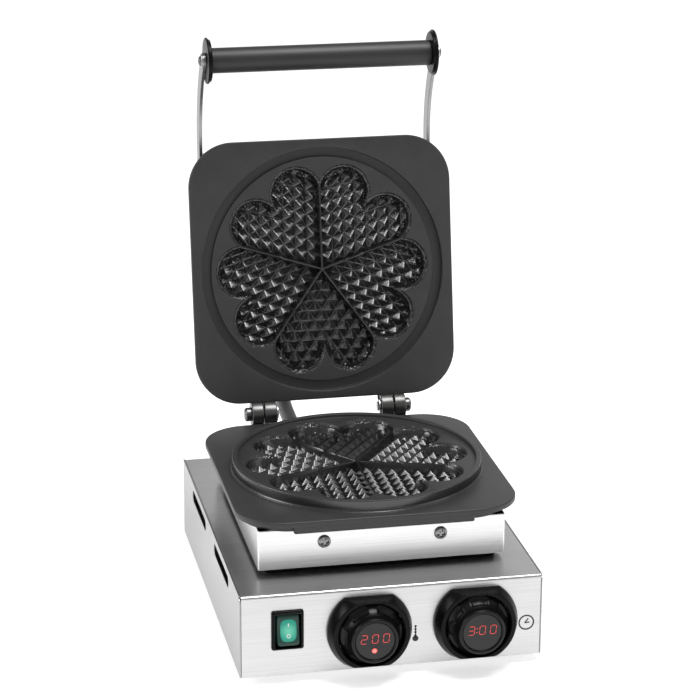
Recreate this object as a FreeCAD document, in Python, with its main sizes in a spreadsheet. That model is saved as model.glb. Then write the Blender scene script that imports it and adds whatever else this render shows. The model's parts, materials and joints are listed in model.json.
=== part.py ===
import FreeCAD, Part
import math
import os
import re
import Sketcher
from FreeCAD import Placement, Rotation, Vector

# Waffle maker for round five-heart waffles: a stainless base with two ring knobs and a rocker
# switch, a heated lower plate on it, and a heated lid on a rear hinge, shown open at its stop.
#
# Base pieces are modelled from the front panel: x right from the middle, y back from the panel's
# face, z up from the lower edge of the housing. Lid pieces are modelled closed, from the hinge
# axis. Knob and switch pieces are modelled round their own axes. Each is then placed in the row.

os.makedirs("parts", exist_ok=True)
doc = FreeCAD.newDocument("WaffleMaker")
sheet = doc.addObject("Spreadsheet::Sheet", "dims")

dimensions = {
    # base housing
    "housingWidth": 250, "housingDepth": 314, "housingHeight": 70.3, "sheetThickness": 1.2,
    "bendRadius": 2.6, "panelSeam": 0.2, "frontY": -171.2,
    "ventLength": 77, "ventHeight": 10, "ventFrontY": 56, "ventBackY": 179, "ventLowZ": 53.7,
    "footHeight": 7, "footRadius": 11, "footInsetX": 32, "footInsetY": 34,
    # heater housing between the base and the lower plate
    "riserWidth": 206, "riserFront": 39.8, "riserBack": 258, "riserLow": 74.8, "riserHigh": 109,
    "riserSheet": 1, "riserScrewX": 48.5, "riserScrewZ": 96.7,
    # cast plates
    "plateWidth": 235.6, "plateFront": 29.4, "plateBack": 261.1, "plateCorner": 40,
    "flangeTop": 119, "flangeThickness": 5, "layerInset": 6, "apronWidth": 150,
    "ringOuter": 105.7, "ringInner": 101, "ringTop": 129, "landTop": 126,
    "grooveOuter": 108.4, "discRadius": 99.9, "grooveDepth": 6.5, "discRecess": 3,
    "lidPlateWidth": 234.4, "lidGap": 1, "lidBack": 9.9, "lidFront": 241.6,
    # five hearts
    "lobeCentre": 71.5, "lobeRadius": 24, "lobeAngle": 18.5, "tierDepth": 2.5, "tierInset": 2.4,
    "pocketDepth": 10.5, "ridgeWidth": 1.6, "pyramidPitch": 11, "pyramidHeight": 4.5,
    # hinge
    "hingeY": 271, "hingeZ": 125, "openAngle": 100.6, "pinRadius": 4.2, "lugRadius": 11,
    "pinClearance": 0.06, "lidLugIn": 47.5, "lidLugOut": 58.3, "baseLugIn": 59.5, "baseLugOut": 69.5,
    # lid cover, arms and handle
    "coverHalf": 101, "coverBack": 22, "coverFront": 230, "coverLow": 14, "coverHigh": 55,
    "armThickness": 3, "armWidth": 14, "armLevel": 24, "armStart": -130, "armBend": -225,
    "handleY": -314, "handleZ": -22,
    "gripRadius": 11, "gripHalf": 95.5, "guardRadius": 20, "guardThickness": 5.5, "rodRadius": 4,
    # knobs
    "temperatureX": -19.3, "timerX": 68.8, "knobZ": 34.3, "collarRadius": 35, "collarFlat": 29,
    "collarBore": 27, "collarDepth": 13, "knobRadius": 26.6, "knobNose": 19.25, "knobDepth": 25,
    "sleeveRadius": 18, "knobBore": 16.3, "displayRadius": 15.8, "lensThickness": 1.6,
    "boardY": 20, "boardThickness": 1.6,
    # switch
    "switchX": -86.2, "switchZ": 39.5, "bezelWidth": 26.4, "bezelHeight": 34, "bezelDepth": 2,
    "bezelLip": 4.2, "rockerWidth": 18, "rockerHeight": 27, "rockerPivot": 5, "rockerTilt": 8,
    # cord gland and conduit
    "glandX": 88, "glandZ": 24, "glandBore": 4, "conduitRadius": 6.8, "conduitGland": 9.5,
    "conduitX": -22, "conduitY": 294, "conduitLidX": -36, "conduitLidZ": 29,
}
for row, (alias, value) in enumerate(dimensions.items(), start=1):
    sheet.set("A%d" % row, alias)
    sheet.set("B%d" % row, str(value))
    sheet.setAlias("B%d" % row, alias)
doc.recompute()


def dim(alias):
    return float(sheet.get(alias))


def bound(text):
    """The same sum with each sheet value named in full."""
    return re.sub(r"[A-Za-z]\w*", lambda word: "dims." + word[0] if word[0] in dimensions else word[0],
                  str(text))


def bind(piece, **sums):
    for name, text in sums.items():
        piece.setExpression(name.replace("_", "."), bound(text))


axes = {"X": Rotation(Vector(0, 1, 0), 90), "Y": Rotation(Vector(-1, 0, 0), 90), "Z": Rotation(),
        "-Z": Rotation(Vector(1, 0, 0), 180), "-Y": Rotation(Vector(1, 0, 0), 90)}


def block(x, y, z, dx, dy, dz):
    piece = doc.addObject("Part::Box", "block")
    bind(piece, Length=dx, Width=dy, Height=dz,
         Placement_Base_x=x, Placement_Base_y=y, Placement_Base_z=z)
    return piece


def rod(axis, x, y, z, radius, length, topRadius=None):
    """A cylinder, or a cone where a second radius is given, from a point along an axis."""
    if topRadius is None:
        piece = doc.addObject("Part::Cylinder", "rod")
        bind(piece, Radius=radius, Height=length)
    else:
        piece = doc.addObject("Part::Cone", "cone")
        bind(piece, Radius1=radius, Radius2=topRadius, Height=length)
    piece.Placement = Placement(Vector(), axes[axis])
    bind(piece, Placement_Base_x=x, Placement_Base_y=y, Placement_Base_z=z)
    return piece


def ringTube(x, y, z, radius, tubeRadius):
    piece = doc.addObject("Part::Torus", "ring")
    bind(piece, Radius1=radius, Radius2=tubeRadius,
         Placement_Base_x=x, Placement_Base_y=y, Placement_Base_z=z)
    return piece


def fuse(*pieces):
    joined = doc.addObject("Part::MultiFuse", "fuse")
    joined.Shapes = list(pieces)
    joined.Refine = True
    return joined


def group(*pieces):
    """Several separate solids kept in one node."""
    gathered = doc.addObject("Part::Compound", "group")
    gathered.Links = list(pieces)
    return gathered


def cut(base, *tools):
    piece = doc.addObject("Part::Cut", "cut")
    piece.Base = base
    piece.Tool = tools[0] if len(tools) == 1 else fuse(*tools)
    return piece


def common(one, other):
    piece = doc.addObject("Part::Common", "common")
    piece.Base = one
    piece.Tool = other
    return piece


def newBody():
    return doc.addObject("PartDesign::Body", "body")


def newSketch(body, role, offset=0):
    """A sketch on one of the body's own planes, moved along the plane's normal."""
    drawing = body.newObject("Sketcher::SketchObject", "sketch")
    plane = next(item for item in body.Origin.OriginFeatures if item.Role == role)
    drawing.AttachmentSupport = [(plane, "")]
    drawing.MapMode = "FlatFace"
    drawing.setExpression("AttachmentOffset.Base.z", bound(offset))
    return drawing


def outline(drawing, points):
    """A closed outline of straight lines, each corner held by its two distances from the origin."""
    corners = [Vector(*(float(drawing.evalExpression(bound(text))) for text in point), 0)
               for point in points]
    count = len(corners)
    for index in range(count):
        drawing.addGeometry(Part.LineSegment(corners[index], corners[(index + 1) % count]), False)
    for index, point in enumerate(points):
        following = (index + 1) % count
        drawing.addConstraint(Sketcher.Constraint("Coincident", index, 2, following, 1))
        for kind, text, value in (("DistanceX", point[0], corners[index].x),
                                  ("DistanceY", point[1], corners[index].y)):
            held = drawing.addConstraint(Sketcher.Constraint(kind, -1, 1, index, 1, value))
            drawing.setExpression("Constraints[%d]" % held, bound(text))
    return drawing


def pad(body, drawing, length, midplane=False, reverse=False):
    feature = body.newObject("PartDesign::Pad", "pad")
    feature.Profile = drawing
    feature.Midplane = midplane
    feature.Reversed = reverse
    bind(feature, Length=length)
    return feature


def turned(points):
    """A body turned about its own Y axis from an outline of (radius, y) corners."""
    body = newBody()
    drawing = outline(newSketch(body, "XY_Plane"), points)
    feature = body.newObject("PartDesign::Revolution", "revolution")
    feature.Profile = drawing
    feature.ReferenceAxis = (drawing, ["V_Axis"])
    feature.Angle = 360
    return body


def edgesAlong(shape, direction):
    """Names of the straight edges that run along a direction."""
    names = []
    for index, edge in enumerate(shape.Edges, start=1):
        if edge.Curve.TypeId == "Part::GeomLine":
            if abs(edge.tangentAt(edge.FirstParameter).dot(direction)) > 0.999:
                names.append("Edge%d" % index)
    return names


def roundEdges(body, edges, radius):
    last = body.Tip
    feature = body.newObject("PartDesign::Fillet", "fillet")
    feature.Base = (last, edges)
    bind(feature, Radius=radius)
    return feature


def roundedBlock(x, y, z, dx, dy, dz, radius):
    """A block whose four upright edges are rounded."""
    body = newBody()
    right, back = "%s+%s" % (x, dx), "%s+%s" % (y, dy)
    corners = [(x, y), (right, y), (right, back), (x, back)]
    pad(body, outline(newSketch(body, "XY_Plane", z), corners), dz)
    doc.recompute()
    roundEdges(body, edgesAlong(body.Shape, Vector(0, 0, 1)), radius)
    return body


nodes = []


def settled(piece):
    """A plain primitive keeps its own place inside a group, which is what gets placed."""
    return group(piece) if piece.TypeId in ("Part::Box", "Part::Cylinder") else piece


def inBase(label, piece):
    """Places a piece modelled from the front panel."""
    piece = settled(piece)
    piece.Label = label
    bind(piece, Placement_Base_y="frontY", Placement_Base_z="footHeight")
    nodes.append(piece)


def inPanel(label, piece, x, z):
    """Places a piece modelled round its own axis in the front panel."""
    piece = settled(piece)
    piece.Label = label
    bind(piece, Placement_Base_x=x, Placement_Base_y="frontY", Placement_Base_z="footHeight+" + z)
    nodes.append(piece)


def inLid(label, piece):
    """Places a piece modelled closed, from the hinge axis, in the open lid."""
    piece = settled(piece)
    piece.Label = label
    piece.Placement = Placement(Vector(), Rotation(Vector(-1, 0, 0), 90))
    bind(piece, Placement_Base_y="frontY+hingeY", Placement_Base_z="footHeight+hingeZ",
         Placement_Rotation_Angle="openAngle")
    nodes.append(piece)


# ---- base housing ----

def housingShell():
    """Front, top and back in one bent sheet, with its cut-outs."""
    body = newBody()
    deep, high, sheetWall = "housingDepth", "housingHeight", "sheetThickness"
    profile = [("0", "0"), (sheetWall, "0"), (sheetWall, "%s-%s" % (high, sheetWall)),
               ("%s-%s" % (deep, sheetWall), "%s-%s" % (high, sheetWall)),
               ("%s-%s" % (deep, sheetWall), "0"), (deep, "0"), (deep, high), ("0", high)]
    drawing = outline(newSketch(body, "YZ_Plane"), profile)
    pad(body, drawing, "housingWidth-2*sheetThickness-2*panelSeam", midplane=True)
    doc.recompute()
    outer = []
    for name in edgesAlong(body.Shape, Vector(1, 0, 0)):
        middle = body.Shape.getElement(name).CenterOfMass
        if abs(middle.z - dim("housingHeight")) < 0.1:
            outer.append(name)
    roundEdges(body, outer, "bendRadius")
    holes = [rod("Y", x, -1, "knobZ", "sleeveRadius+0.3", 5) for x in ("temperatureX", "timerX")]
    holes.append(block("switchX-12.4", -1, "switchZ-16", 24.8, 5, 32))
    holes.append(block(-60, 90, "housingHeight-5", 120, 110, 10))
    holes.append(rod("Z", "conduitX", "conduitY", "housingHeight-5", 7.7, 10))
    holes.append(rod("Y", "glandX", "housingDepth-5", "glandZ", 8, 10))
    for x in (-70, 70):
        for y in (60, 238):
            holes.append(rod("Z", x, y, "housingHeight-5", 2.6, 10))
    inBase("housing_shell", cut(body, *holes))


def ventSlot(x, y):
    radius = "ventHeight/2"
    middle = "ventLowZ+ventHeight/2"
    return fuse(block(x, "%s+%s" % (y, radius), "ventLowZ", 8, "ventLength-ventHeight", "ventHeight"),
                rod("X", x, "%s+%s" % (y, radius), middle, radius, 8),
                rod("X", x, "%s+ventLength-%s" % (y, radius), middle, radius, 8))


def sidePanels():
    for side, label in ((-1, "side_panel_left"), (1, "side_panel_right")):
        low = "-housingWidth/2" if side < 0 else "housingWidth/2-sheetThickness"
        wall = block(low, 0, 0, "sheetThickness", "housingDepth", "housingHeight")
        lip = block("-housingWidth/2+sheetThickness" if side < 0 else "housingWidth/2-sheetThickness-12",
                    "sheetThickness+0.1", "sheetThickness", 12, "housingDepth-2*sheetThickness-0.2", 1.2)
        slots = [ventSlot("%d*housingWidth/2-4" % side, y) for y in ("ventFrontY", "ventBackY")]
        notch = rod("X", "%d*housingWidth/2-4" % side, 0, "housingHeight", 3.2, 8)
        inBase(label, cut(fuse(wall, lip), notch, *slots))


def bottomPlate():
    inset = "sheetThickness+0.1"
    plate = block("-housingWidth/2+" + inset, inset, 0, "housingWidth-2*(%s)" % inset,
                  "housingDepth-2*(%s)" % inset, "sheetThickness-0.05")
    slots = [block("-45+%d*14" % index, 190, -2, 5, 70, 6) for index in range(7)]
    screws = [rod("Z", x, y, -2, 2.2, 6) for x, y in footPlaces()]
    inBase("bottom_plate", cut(plate, *slots, *screws))


def footPlaces():
    across, front, back = "housingWidth/2-footInsetX", "footInsetY", "housingDepth-footInsetY"
    return [("-(%s)" % across, front), (across, front), ("-(%s)" % across, back), (across, back)]


def feet():
    """Four tapered rubber feet, each with a screw sunk in it."""
    rubbers, screws = [], []
    for x, y in footPlaces():
        taper = rod("Z", x, y, "-footHeight", "footRadius-1.5", "footHeight", "footRadius")
        recess = rod("Z", x, y, "-footHeight-1", 5, "1+3.5")
        bore = rod("Z", x, y, "-footHeight-1", 2.2, "footHeight+2")
        rubbers.append(cut(taper, recess, bore))
        head = rod("Z", x, y, "1.4-footHeight", 4.2, 2)
        screws.append(fuse(head, rod("Z", x, y, "2-footHeight", 1.9, 8)))
    inBase("feet", group(*rubbers))
    inBase("foot_screws", group(*screws))


# ---- heater housing ----

def heaterHousing():
    wide, front, back = "riserWidth", "riserFront", "riserBack"
    outer = roundedBlock("-riserWidth/2", front, "riserLow", wide, "%s-%s" % (back, front),
                         "riserHigh-riserLow", 2)
    inner = block("-riserWidth/2+riserSheet", "riserFront+riserSheet", "riserLow+riserSheet",
                  "riserWidth-2*riserSheet", "riserBack-riserFront-2*riserSheet", 60)
    floorHole = block(-80, "riserFront+22", "riserLow-5", 160, "riserBack-riserFront-44", 20)
    holes = []
    for side in ("-", ""):
        holes.append(rod("Y", side + "riserScrewX", "riserFront-4", "riserScrewZ", 2.2, 10))
        holes.append(rod("Y", side + "riserScrewX", "riserBack-6", "riserScrewZ", 2.2, 10))
    inBase("heater_housing", cut(outer, inner, floorHole, *holes))


def spacerFrame():
    low, high = "housingHeight", "riserLow"
    outer = roundedBlock("-riserWidth/2+6", "riserFront+6", low, "riserWidth-12",
                         "riserBack-riserFront-12", "%s-%s" % (high, low), 4)
    inner = block("-riserWidth/2+20", "riserFront+20", "housingHeight-2", "riserWidth-40",
                  "riserBack-riserFront-40", 12)
    inBase("spacer_frame", cut(outer, inner))


def panScrew(axis, x, y, z, headRadius, shaftRadius, length):
    """A pan head screw whose head's underside is at the point and whose shaft runs against the axis."""
    back = {"-Y": "Y", "Y": "-Y", "Z": "-Z", "-Z": "Z"}[axis]
    head = rod(axis, x, y, z, headRadius, 1.4)
    step = {"-Y": (0, "-1.4"), "Y": (0, "+1.4"), "Z": (1, "+1.4"), "-Z": (1, "-1.4")}[axis]
    place = [y, z]
    place[step[0]] = "%s%s" % (place[step[0]], step[1])
    dome = rod(axis, x, place[0], place[1], headRadius, 1.4, "%s*0.62" % headRadius)
    return fuse(head, dome, rod(back, x, y, z, shaftRadius, length))


def heaterHousingScrews():
    screws = []
    for side in ("-", ""):
        screws.append(panScrew("-Y", side + "riserScrewX", "riserFront", "riserScrewZ", 5.5, 2, 8))
        screws.append(panScrew("Y", side + "riserScrewX", "riserBack", "riserScrewZ", 5.5, 2, 8))
    inBase("heater_housing_screws", group(*screws))


# ---- waffle pattern ----

def heartPockets():
    """The space of one plate's pattern: a shallow rosette of ten lobes, and below it five hearts.

    Each heart is a wedge between two ridges through the centre, with two lobes at its rim, and
    its floor is a field of pyramids in rows along both ridges. Depths run from the plate's face.
    """
    centre, radius = dim("lobeCentre"), dim("lobeRadius")
    lobeAngles = [72 * heart + side * dim("lobeAngle") for heart in range(5) for side in (-1, 1)]

    def lobes(lobeRadius, low, height):
        places = [Vector(centre * math.sin(math.radians(a)), centre * math.cos(math.radians(a)), low)
                  for a in lobeAngles]
        middle = Part.Face(Part.makePolygon(places + places[:1])).extrude(Vector(0, 0, height))
        rounds = [Part.makeCylinder(lobeRadius, height, place) for place in places]
        return middle.multiFuse(rounds).removeSplitter()

    floor, tier = -dim("pocketDepth"), -dim("tierDepth")
    shallow = lobes(radius, tier, 8 - tier)
    deep = lobes(radius - dim("tierInset"), floor, tier - floor + 0.5)
    half = math.radians(36)
    apex = dim("ridgeWidth") / 2 / math.sin(half)
    reach = 130
    wedge = [Vector(0, apex, floor), Vector(reach * math.sin(half), apex + reach * math.cos(half), floor),
             Vector(-reach * math.sin(half), apex + reach * math.cos(half), floor)]
    heart = deep.common(Part.Face(Part.makePolygon(wedge + wedge[:1])).extrude(Vector(0, 0, 30)))
    heart = heart.common(overPyramids(floor, apex, half))
    hearts = [heart.rotated(Vector(), Vector(0, 0, 1), 72 * index) for index in range(5)]
    return Part.makeCompound([shallow] + hearts)


def overPyramids(floor, apex, half):
    """The space above a field of pyramids, whose rows run along the two ridges of one heart."""
    pitch, tip, top = dim("pyramidPitch"), dim("pyramidHeight"), 30
    count = 9
    rowA = Vector(math.sin(half), math.cos(half), 0) * pitch
    rowB = Vector(-math.sin(half), math.cos(half), 0) * pitch
    start = Vector(0, apex, floor)

    def corner(a, b, height=0.0):
        return start + rowA * a + rowB * b + Vector(0, 0, height)

    faces = []
    for a in range(count):
        for b in range(count):
            ring = [corner(a, b), corner(a + 1, b), corner(a + 1, b + 1), corner(a, b + 1)]
            peak = corner(a + 0.5, b + 0.5, tip)
            for index in range(4):
                triangle = [ring[index], ring[(index + 1) % 4], peak]
                faces.append(Part.Face(Part.makePolygon(triangle + triangle[:1])))
    rim = [corner(0, 0), corner(count, 0), corner(count, count), corner(0, count)]
    for index in range(4):
        first, second = rim[index], rim[(index + 1) % 4]
        edgeCount = count
        lower = [first + (second - first) * (step / edgeCount) for step in range(edgeCount + 1)]
        wall = lower + [second + Vector(0, 0, top), first + Vector(0, 0, top)]
        faces.append(Part.Face(Part.makePolygon(wall + wall[:1])))
    lid = [point + Vector(0, 0, top) for point in rim]
    faces.append(Part.Face(Part.makePolygon(lid + lid[:1])))
    solid = Part.Solid(Part.makeShell(faces))
    if solid.Volume < 0:
        solid.reverse()
    return solid


def shapePiece(shape):
    piece = doc.addObject("Part::Feature", "shape")
    piece.Shape = shape
    return piece


def castLayers(width, back, front, low, thickness, layer):
    """The flange and the inset second layer of a cast plate, stacked upwards from a height."""
    flange = roundedBlock("-(%s)/2" % width, front, low, width, "%s-(%s)" % (back, front), thickness,
                          "plateCorner")
    inner = roundedBlock("-(%s)/2+layerInset" % width, front + "+layerInset", layer[0],
                         width + "-2*layerInset", "%s-(%s)-2*layerInset" % (back, front), layer[1],
                         "plateCorner-layerInset")
    return flange, inner


def lowerPlate():
    """The lower casting: rounded flange, inset layer, front apron, ring, hearts and hinge lugs."""
    centreY = "(plateFront+plateBack)/2"
    flange, layer = castLayers("plateWidth", "plateBack", "plateFront", "flangeTop-flangeThickness",
                               "flangeThickness", ("riserHigh", "flangeTop-riserHigh"))
    apron = block("-apronWidth/2", "plateFront", "riserHigh-0.5", "apronWidth",
                  "riserFront-plateFront-0.1", 8)
    ring = rod("Z", 0, centreY, "riserHigh", "ringOuter", "ringTop-riserHigh")
    foot = rod("Z", 0, centreY, "flangeTop", "ringOuter+1.6", 1.6, "ringOuter")
    lugs = []
    for side in (-1, 1):
        low = "baseLugIn" if side > 0 else "-baseLugOut"
        wide = "baseLugOut-baseLugIn"
        lugs.append(rod("X", low, "hingeY", "hingeZ", "lugRadius", wide))
        lugs.append(block(low, "hingeY-24", "riserHigh", wide, 24, "flangeTop-riserHigh"))
        lugs.append(block(low, "hingeY-9", "hingeZ-lugRadius", wide, 9, 11))
    solid = fuse(flange, layer, apron, ring, foot, *lugs)
    well = rod("Z", 0, centreY, "landTop", "ringInner", 20)
    hearts = shapePiece(heartPockets())
    bind(hearts, Placement_Base_y=centreY, Placement_Base_z="landTop")
    bore = rod("X", -80, "hingeY", "hingeZ", "pinRadius", 160)
    swept = []
    for side in (-1, 1):
        low = "lidLugIn-0.6" if side > 0 else "-lidLugOut-0.6"
        swept.append(rod("X", low, "hingeY", "hingeZ", "lugRadius+0.6", "lidLugOut-lidLugIn+1.2"))
    inBase("lower_plate", cut(solid, well, hearts, bore, *swept))


def upperPlate():
    """The upper casting, modelled closed: it mirrors the lower one, with a groove for the ring."""
    centreY = "(plateFront+plateBack)/2-hingeY"
    back, front = "(-lidBack)", "(-lidFront)"
    flange, layer = castLayers("lidPlateWidth", back, front, "-lidGap", "flangeThickness",
                               ("-lidGap", "coverLow+lidGap"))
    boss = rod("Z", 0, centreY, "-lidGap", "discRadius-1", 20)
    lugs = []
    for side in (-1, 1):
        low = "lidLugIn" if side > 0 else "-lidLugOut"
        wide = "lidLugOut-lidLugIn"
        lugs.append(rod("X", low, 0, 0, "lugRadius", wide))
        lugs.append(block(low, -26, "-lidGap", wide, 26, 12))
    solid = fuse(flange, layer, boss, *lugs)
    recess = rod("Z", 0, centreY, "-lidGap-5", "discRadius", "discRecess+5")
    groove = cut(rod("Z", 0, centreY, "-lidGap-5", "grooveOuter", "grooveDepth+5"),
                 rod("Z", 0, centreY, "-lidGap-6", "discRadius", 40))
    hearts = shapePiece(heartPockets().mirror(Vector(), Vector(0, 0, 1)))
    bind(hearts, Placement_Base_y=centreY, Placement_Base_z="discRecess-lidGap")
    bore = rod("X", -80, 0, 0, "pinRadius+pinClearance", 160)
    swept = []
    for side in (-1, 1):
        low = "baseLugIn-0.6" if side > 0 else "-baseLugOut-0.6"
        swept.append(rod("X", low, 0, 0, "lugRadius+0.6", "baseLugOut-baseLugIn+1.2"))
    inLid("upper_plate", cut(solid, recess, groove, hearts, bore, *swept))


# ---- heating ----

def heaterRing(faceZ, side, centreY):
    """A tubular element bent to a ring against a plate, with two terminal ends."""
    level = "%s%s3.3" % (faceZ, side)
    ends = []
    for x in (-12, 12):
        axis = "-Z" if side == "-" else "Z"
        ends.append(rod(axis, x, "%s-69" % centreY, level, 3.2, 9))
    return fuse(ringTube(0, centreY, level, 70, 3.2), *ends)


clampPlaces = ((0, 52), (-45, -26), (45, -26))


def heaterClamp(level, centreY):
    """A disc that presses the element on, with a middle hole, a gap for the terminals and holes."""
    holes = [rod("Z", x, "%s+%s" % (centreY, y), level + "-2", 2.2, 7) for x, y in clampPlaces]
    return cut(rod("Z", 0, centreY, level, 84, 2.3), rod("Z", 0, centreY, level + "-2", 20, 9),
               block(-20, "%s-78" % centreY, level + "-2", 40, 18, 9), *holes)


def lowerHeating():
    centreY = "(plateFront+plateBack)/2"
    inBase("lower_heater", heaterRing("riserHigh", "-", centreY))
    inBase("lower_heater_clamp", heaterClamp("riserHigh-9", centreY))
    screws = [panScrew("-Z", x, "%s+%s" % (centreY, y), "riserHigh-9", 4, 2, 8.9)
              for x, y in clampPlaces]
    inBase("lower_heater_screws", group(*screws))
    wool = roundedBlock("-riserWidth/2+8", "riserFront+8", "riserLow+2", "riserWidth-16",
                        "riserBack-riserFront-16", 14, 6)
    inBase("lower_insulation", wool)
    inBase("lower_sensor", fuse(rod("-Z", 0, centreY, "riserHigh-0.05", 3, 8),
                                rod("-Z", 0, centreY, "riserHigh-8", 5, 5)))


def upperHeating():
    centreY = "(plateFront+plateBack)/2-hingeY"
    inLid("upper_heater", heaterRing("(20-lidGap)", "+", centreY))
    inLid("upper_heater_clamp", heaterClamp("26.7-lidGap", centreY))
    screws = [panScrew("Z", x, "%s+%s" % (centreY, y), "29-lidGap", 4, 2, 8.9)
              for x, y in clampPlaces]
    inLid("upper_heater_screws", group(*screws))
    wool = roundedBlock("-coverHalf+8", "-coverFront+10", "36-lidGap", "2*coverHalf-16",
                        "coverFront-coverBack-20", 14, 6)
    inLid("upper_insulation", wool)
    inLid("upper_sensor", fuse(rod("Z", 0, centreY, "20.05-lidGap", 3, 8),
                               rod("Z", 0, centreY, "28-lidGap", 5, 5)))


# ---- hinge ----

def hingePins():
    for side, label in ((-1, "hinge_pin_left"), (1, "hinge_pin_right")):
        if side > 0:
            shaft = rod("X", "lidLugIn-2.5", "hingeY", "hingeZ", "pinRadius", "baseLugOut-lidLugIn+2.5")
            head = rod("X", "baseLugOut", "hingeY", "hingeZ", 6.2, 4.5)
            nose = rod("X", "baseLugOut+4.5", "hingeY", "hingeZ", 6.2, 1.5, 4.6)
            groove = cut(rod("X", "lidLugIn-1.6", "hingeY", "hingeZ", 6, 0.8),
                         rod("X", "lidLugIn-2", "hingeY", "hingeZ", "pinRadius-0.7", 2))
        else:
            shaft = rod("X", "-baseLugOut", "hingeY", "hingeZ", "pinRadius", "baseLugOut-lidLugIn+2.5")
            head = rod("X", "-baseLugOut-4.5", "hingeY", "hingeZ", 6.2, 4.5)
            nose = rod("X", "-baseLugOut-6", "hingeY", "hingeZ", 4.6, 1.5, 6.2)
            groove = cut(rod("X", "-lidLugIn+0.8", "hingeY", "hingeZ", 6, 0.8),
                         rod("X", "-lidLugIn", "hingeY", "hingeZ", "pinRadius-0.7", 2))
        inBase(label, cut(fuse(shaft, head, nose), groove))
    clips = []
    for start in ("lidLugIn-1.5", "-lidLugIn+0.9"):
        clips.append(cut(rod("X", start, "hingeY", "hingeZ", 7.2, 0.6),
                         rod("X", start, "hingeY", "hingeZ", "pinRadius-0.7", 2),
                         rod("X", start + "-1", "hingeY", "hingeZ", "pinRadius-0.7", 2),
                         block(start + "-1", "hingeY-1.6", "hingeZ", 3, 3.2, 9)))
    inBase("hinge_clips", group(*clips))


# ---- lid cover, arms and handle ----

def upperCover():
    wide, deep = "2*coverHalf", "coverFront-coverBack"
    outer = roundedBlock("-coverHalf", "-coverFront", "coverLow", wide, deep, "coverHigh-coverLow", 3)
    inner = block("-coverHalf+riserSheet", "-coverFront+riserSheet", "coverLow-1",
                  "2*coverHalf-2*riserSheet", "coverFront-coverBack-2*riserSheet",
                  "coverHigh-coverLow-riserSheet+1")
    holes = [rod("Y", "conduitLidX", "-coverBack-4", "conduitLidZ", 7.7, 8)]
    for x in ("-coverHalf-3", "coverHalf-4"):
        for y in boltPlaces:
            holes.append(rod("X", x, y, "armLevel", 2.7, 7))
    for x in (-70, 70):
        for y in (-60, -195):
            holes.append(rod("Z", x, y, "coverHigh-4", 2.1, 8))
    inLid("upper_cover", cut(outer, inner, *holes))
    screws = [panScrew("Z", x, y, "coverHigh", 4.5, 2, 5) for x in (-70, 70) for y in (-60, -195)]
    inLid("cover_screws", group(*screws))


boltPlaces = (-150, -205)


def armFace():
    """Side view of an arm: straight along the cover, then one bow that ends round the handle's axis."""
    half, level = dim("armWidth") / 2, dim("armLevel")
    start, bend = Vector(0, dim("armStart"), level), Vector(0, dim("armBend"), level)
    end = Vector(0, dim("handleY"), dim("handleZ"))
    forward, drop = bend.y - end.y, level - end.z
    radius = (forward ** 2 + drop ** 2) / (2 * drop)
    centre = bend - Vector(0, 0, radius)
    sweep = math.atan2(forward, radius - drop)

    def onBow(distance, share):
        angle = sweep * share
        return centre + Vector(0, -math.sin(angle), math.cos(angle)) * (radius + distance)

    up = Vector(0, 0, half)
    nose = end + (onBow(1, 1) - end).cross(Vector(1, 0, 0)).normalize() * -half
    if nose.y > end.y:
        nose = end * 2 - nose
    edges = [Part.LineSegment(start + up, bend + up).toShape(),
             Part.Arc(bend + up, onBow(half, 0.5), onBow(half, 1)).toShape(),
             Part.Arc(onBow(half, 1), nose, onBow(-half, 1)).toShape(),
             Part.Arc(onBow(-half, 1), onBow(-half, 0.5), bend - up).toShape(),
             Part.LineSegment(bend - up, start - up).toShape(),
             Part.Arc(start - up, start + Vector(0, half, 0), start + up).toShape()]
    return Part.Face(Part.Wire(edges))


def arms():
    """Flat steel arms with holes for two bolts and the handle rod, bolted to the cover's sides."""
    thick = dim("armThickness")
    for side, label in ((-1, "arm_left"), (1, "arm_right")):
        startX = side * (dim("coverHalf") + 0.2) - (thick if side < 0 else 0)
        bar = armFace().extrude(Vector(thick, 0, 0))
        bar.translate(Vector(startX, 0, 0))
        across, outside = Vector(1, 0, 0), startX - 2
        holes = [Part.makeCylinder(2.6, thick + 4, Vector(outside, y, dim("armLevel")), across)
                 for y in boltPlaces]
        rodPlace = Vector(outside, dim("handleY"), dim("handleZ"))
        holes.append(Part.makeCylinder(dim("rodRadius") + 0.1, thick + 4, rodPlace, across))
        inLid(label, shapePiece(bar.cut(holes)))
    bolts = []
    for y in boltPlaces:
        bolts.append(fuse(rod("X", "coverHalf+0.2+armThickness", y, "armLevel", 4.6, 3),
                          rod("X", "coverHalf-5", y, "armLevel", 2.5, 10)))
        bolts.append(fuse(rod("X", "-coverHalf-armThickness-3.2", y, "armLevel", 4.6, 3),
                          rod("X", "-coverHalf-armThickness-0.5", y, "armLevel", 2.5, "armThickness+5.5")))
    inLid("arm_bolts", group(*bolts))


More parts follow.
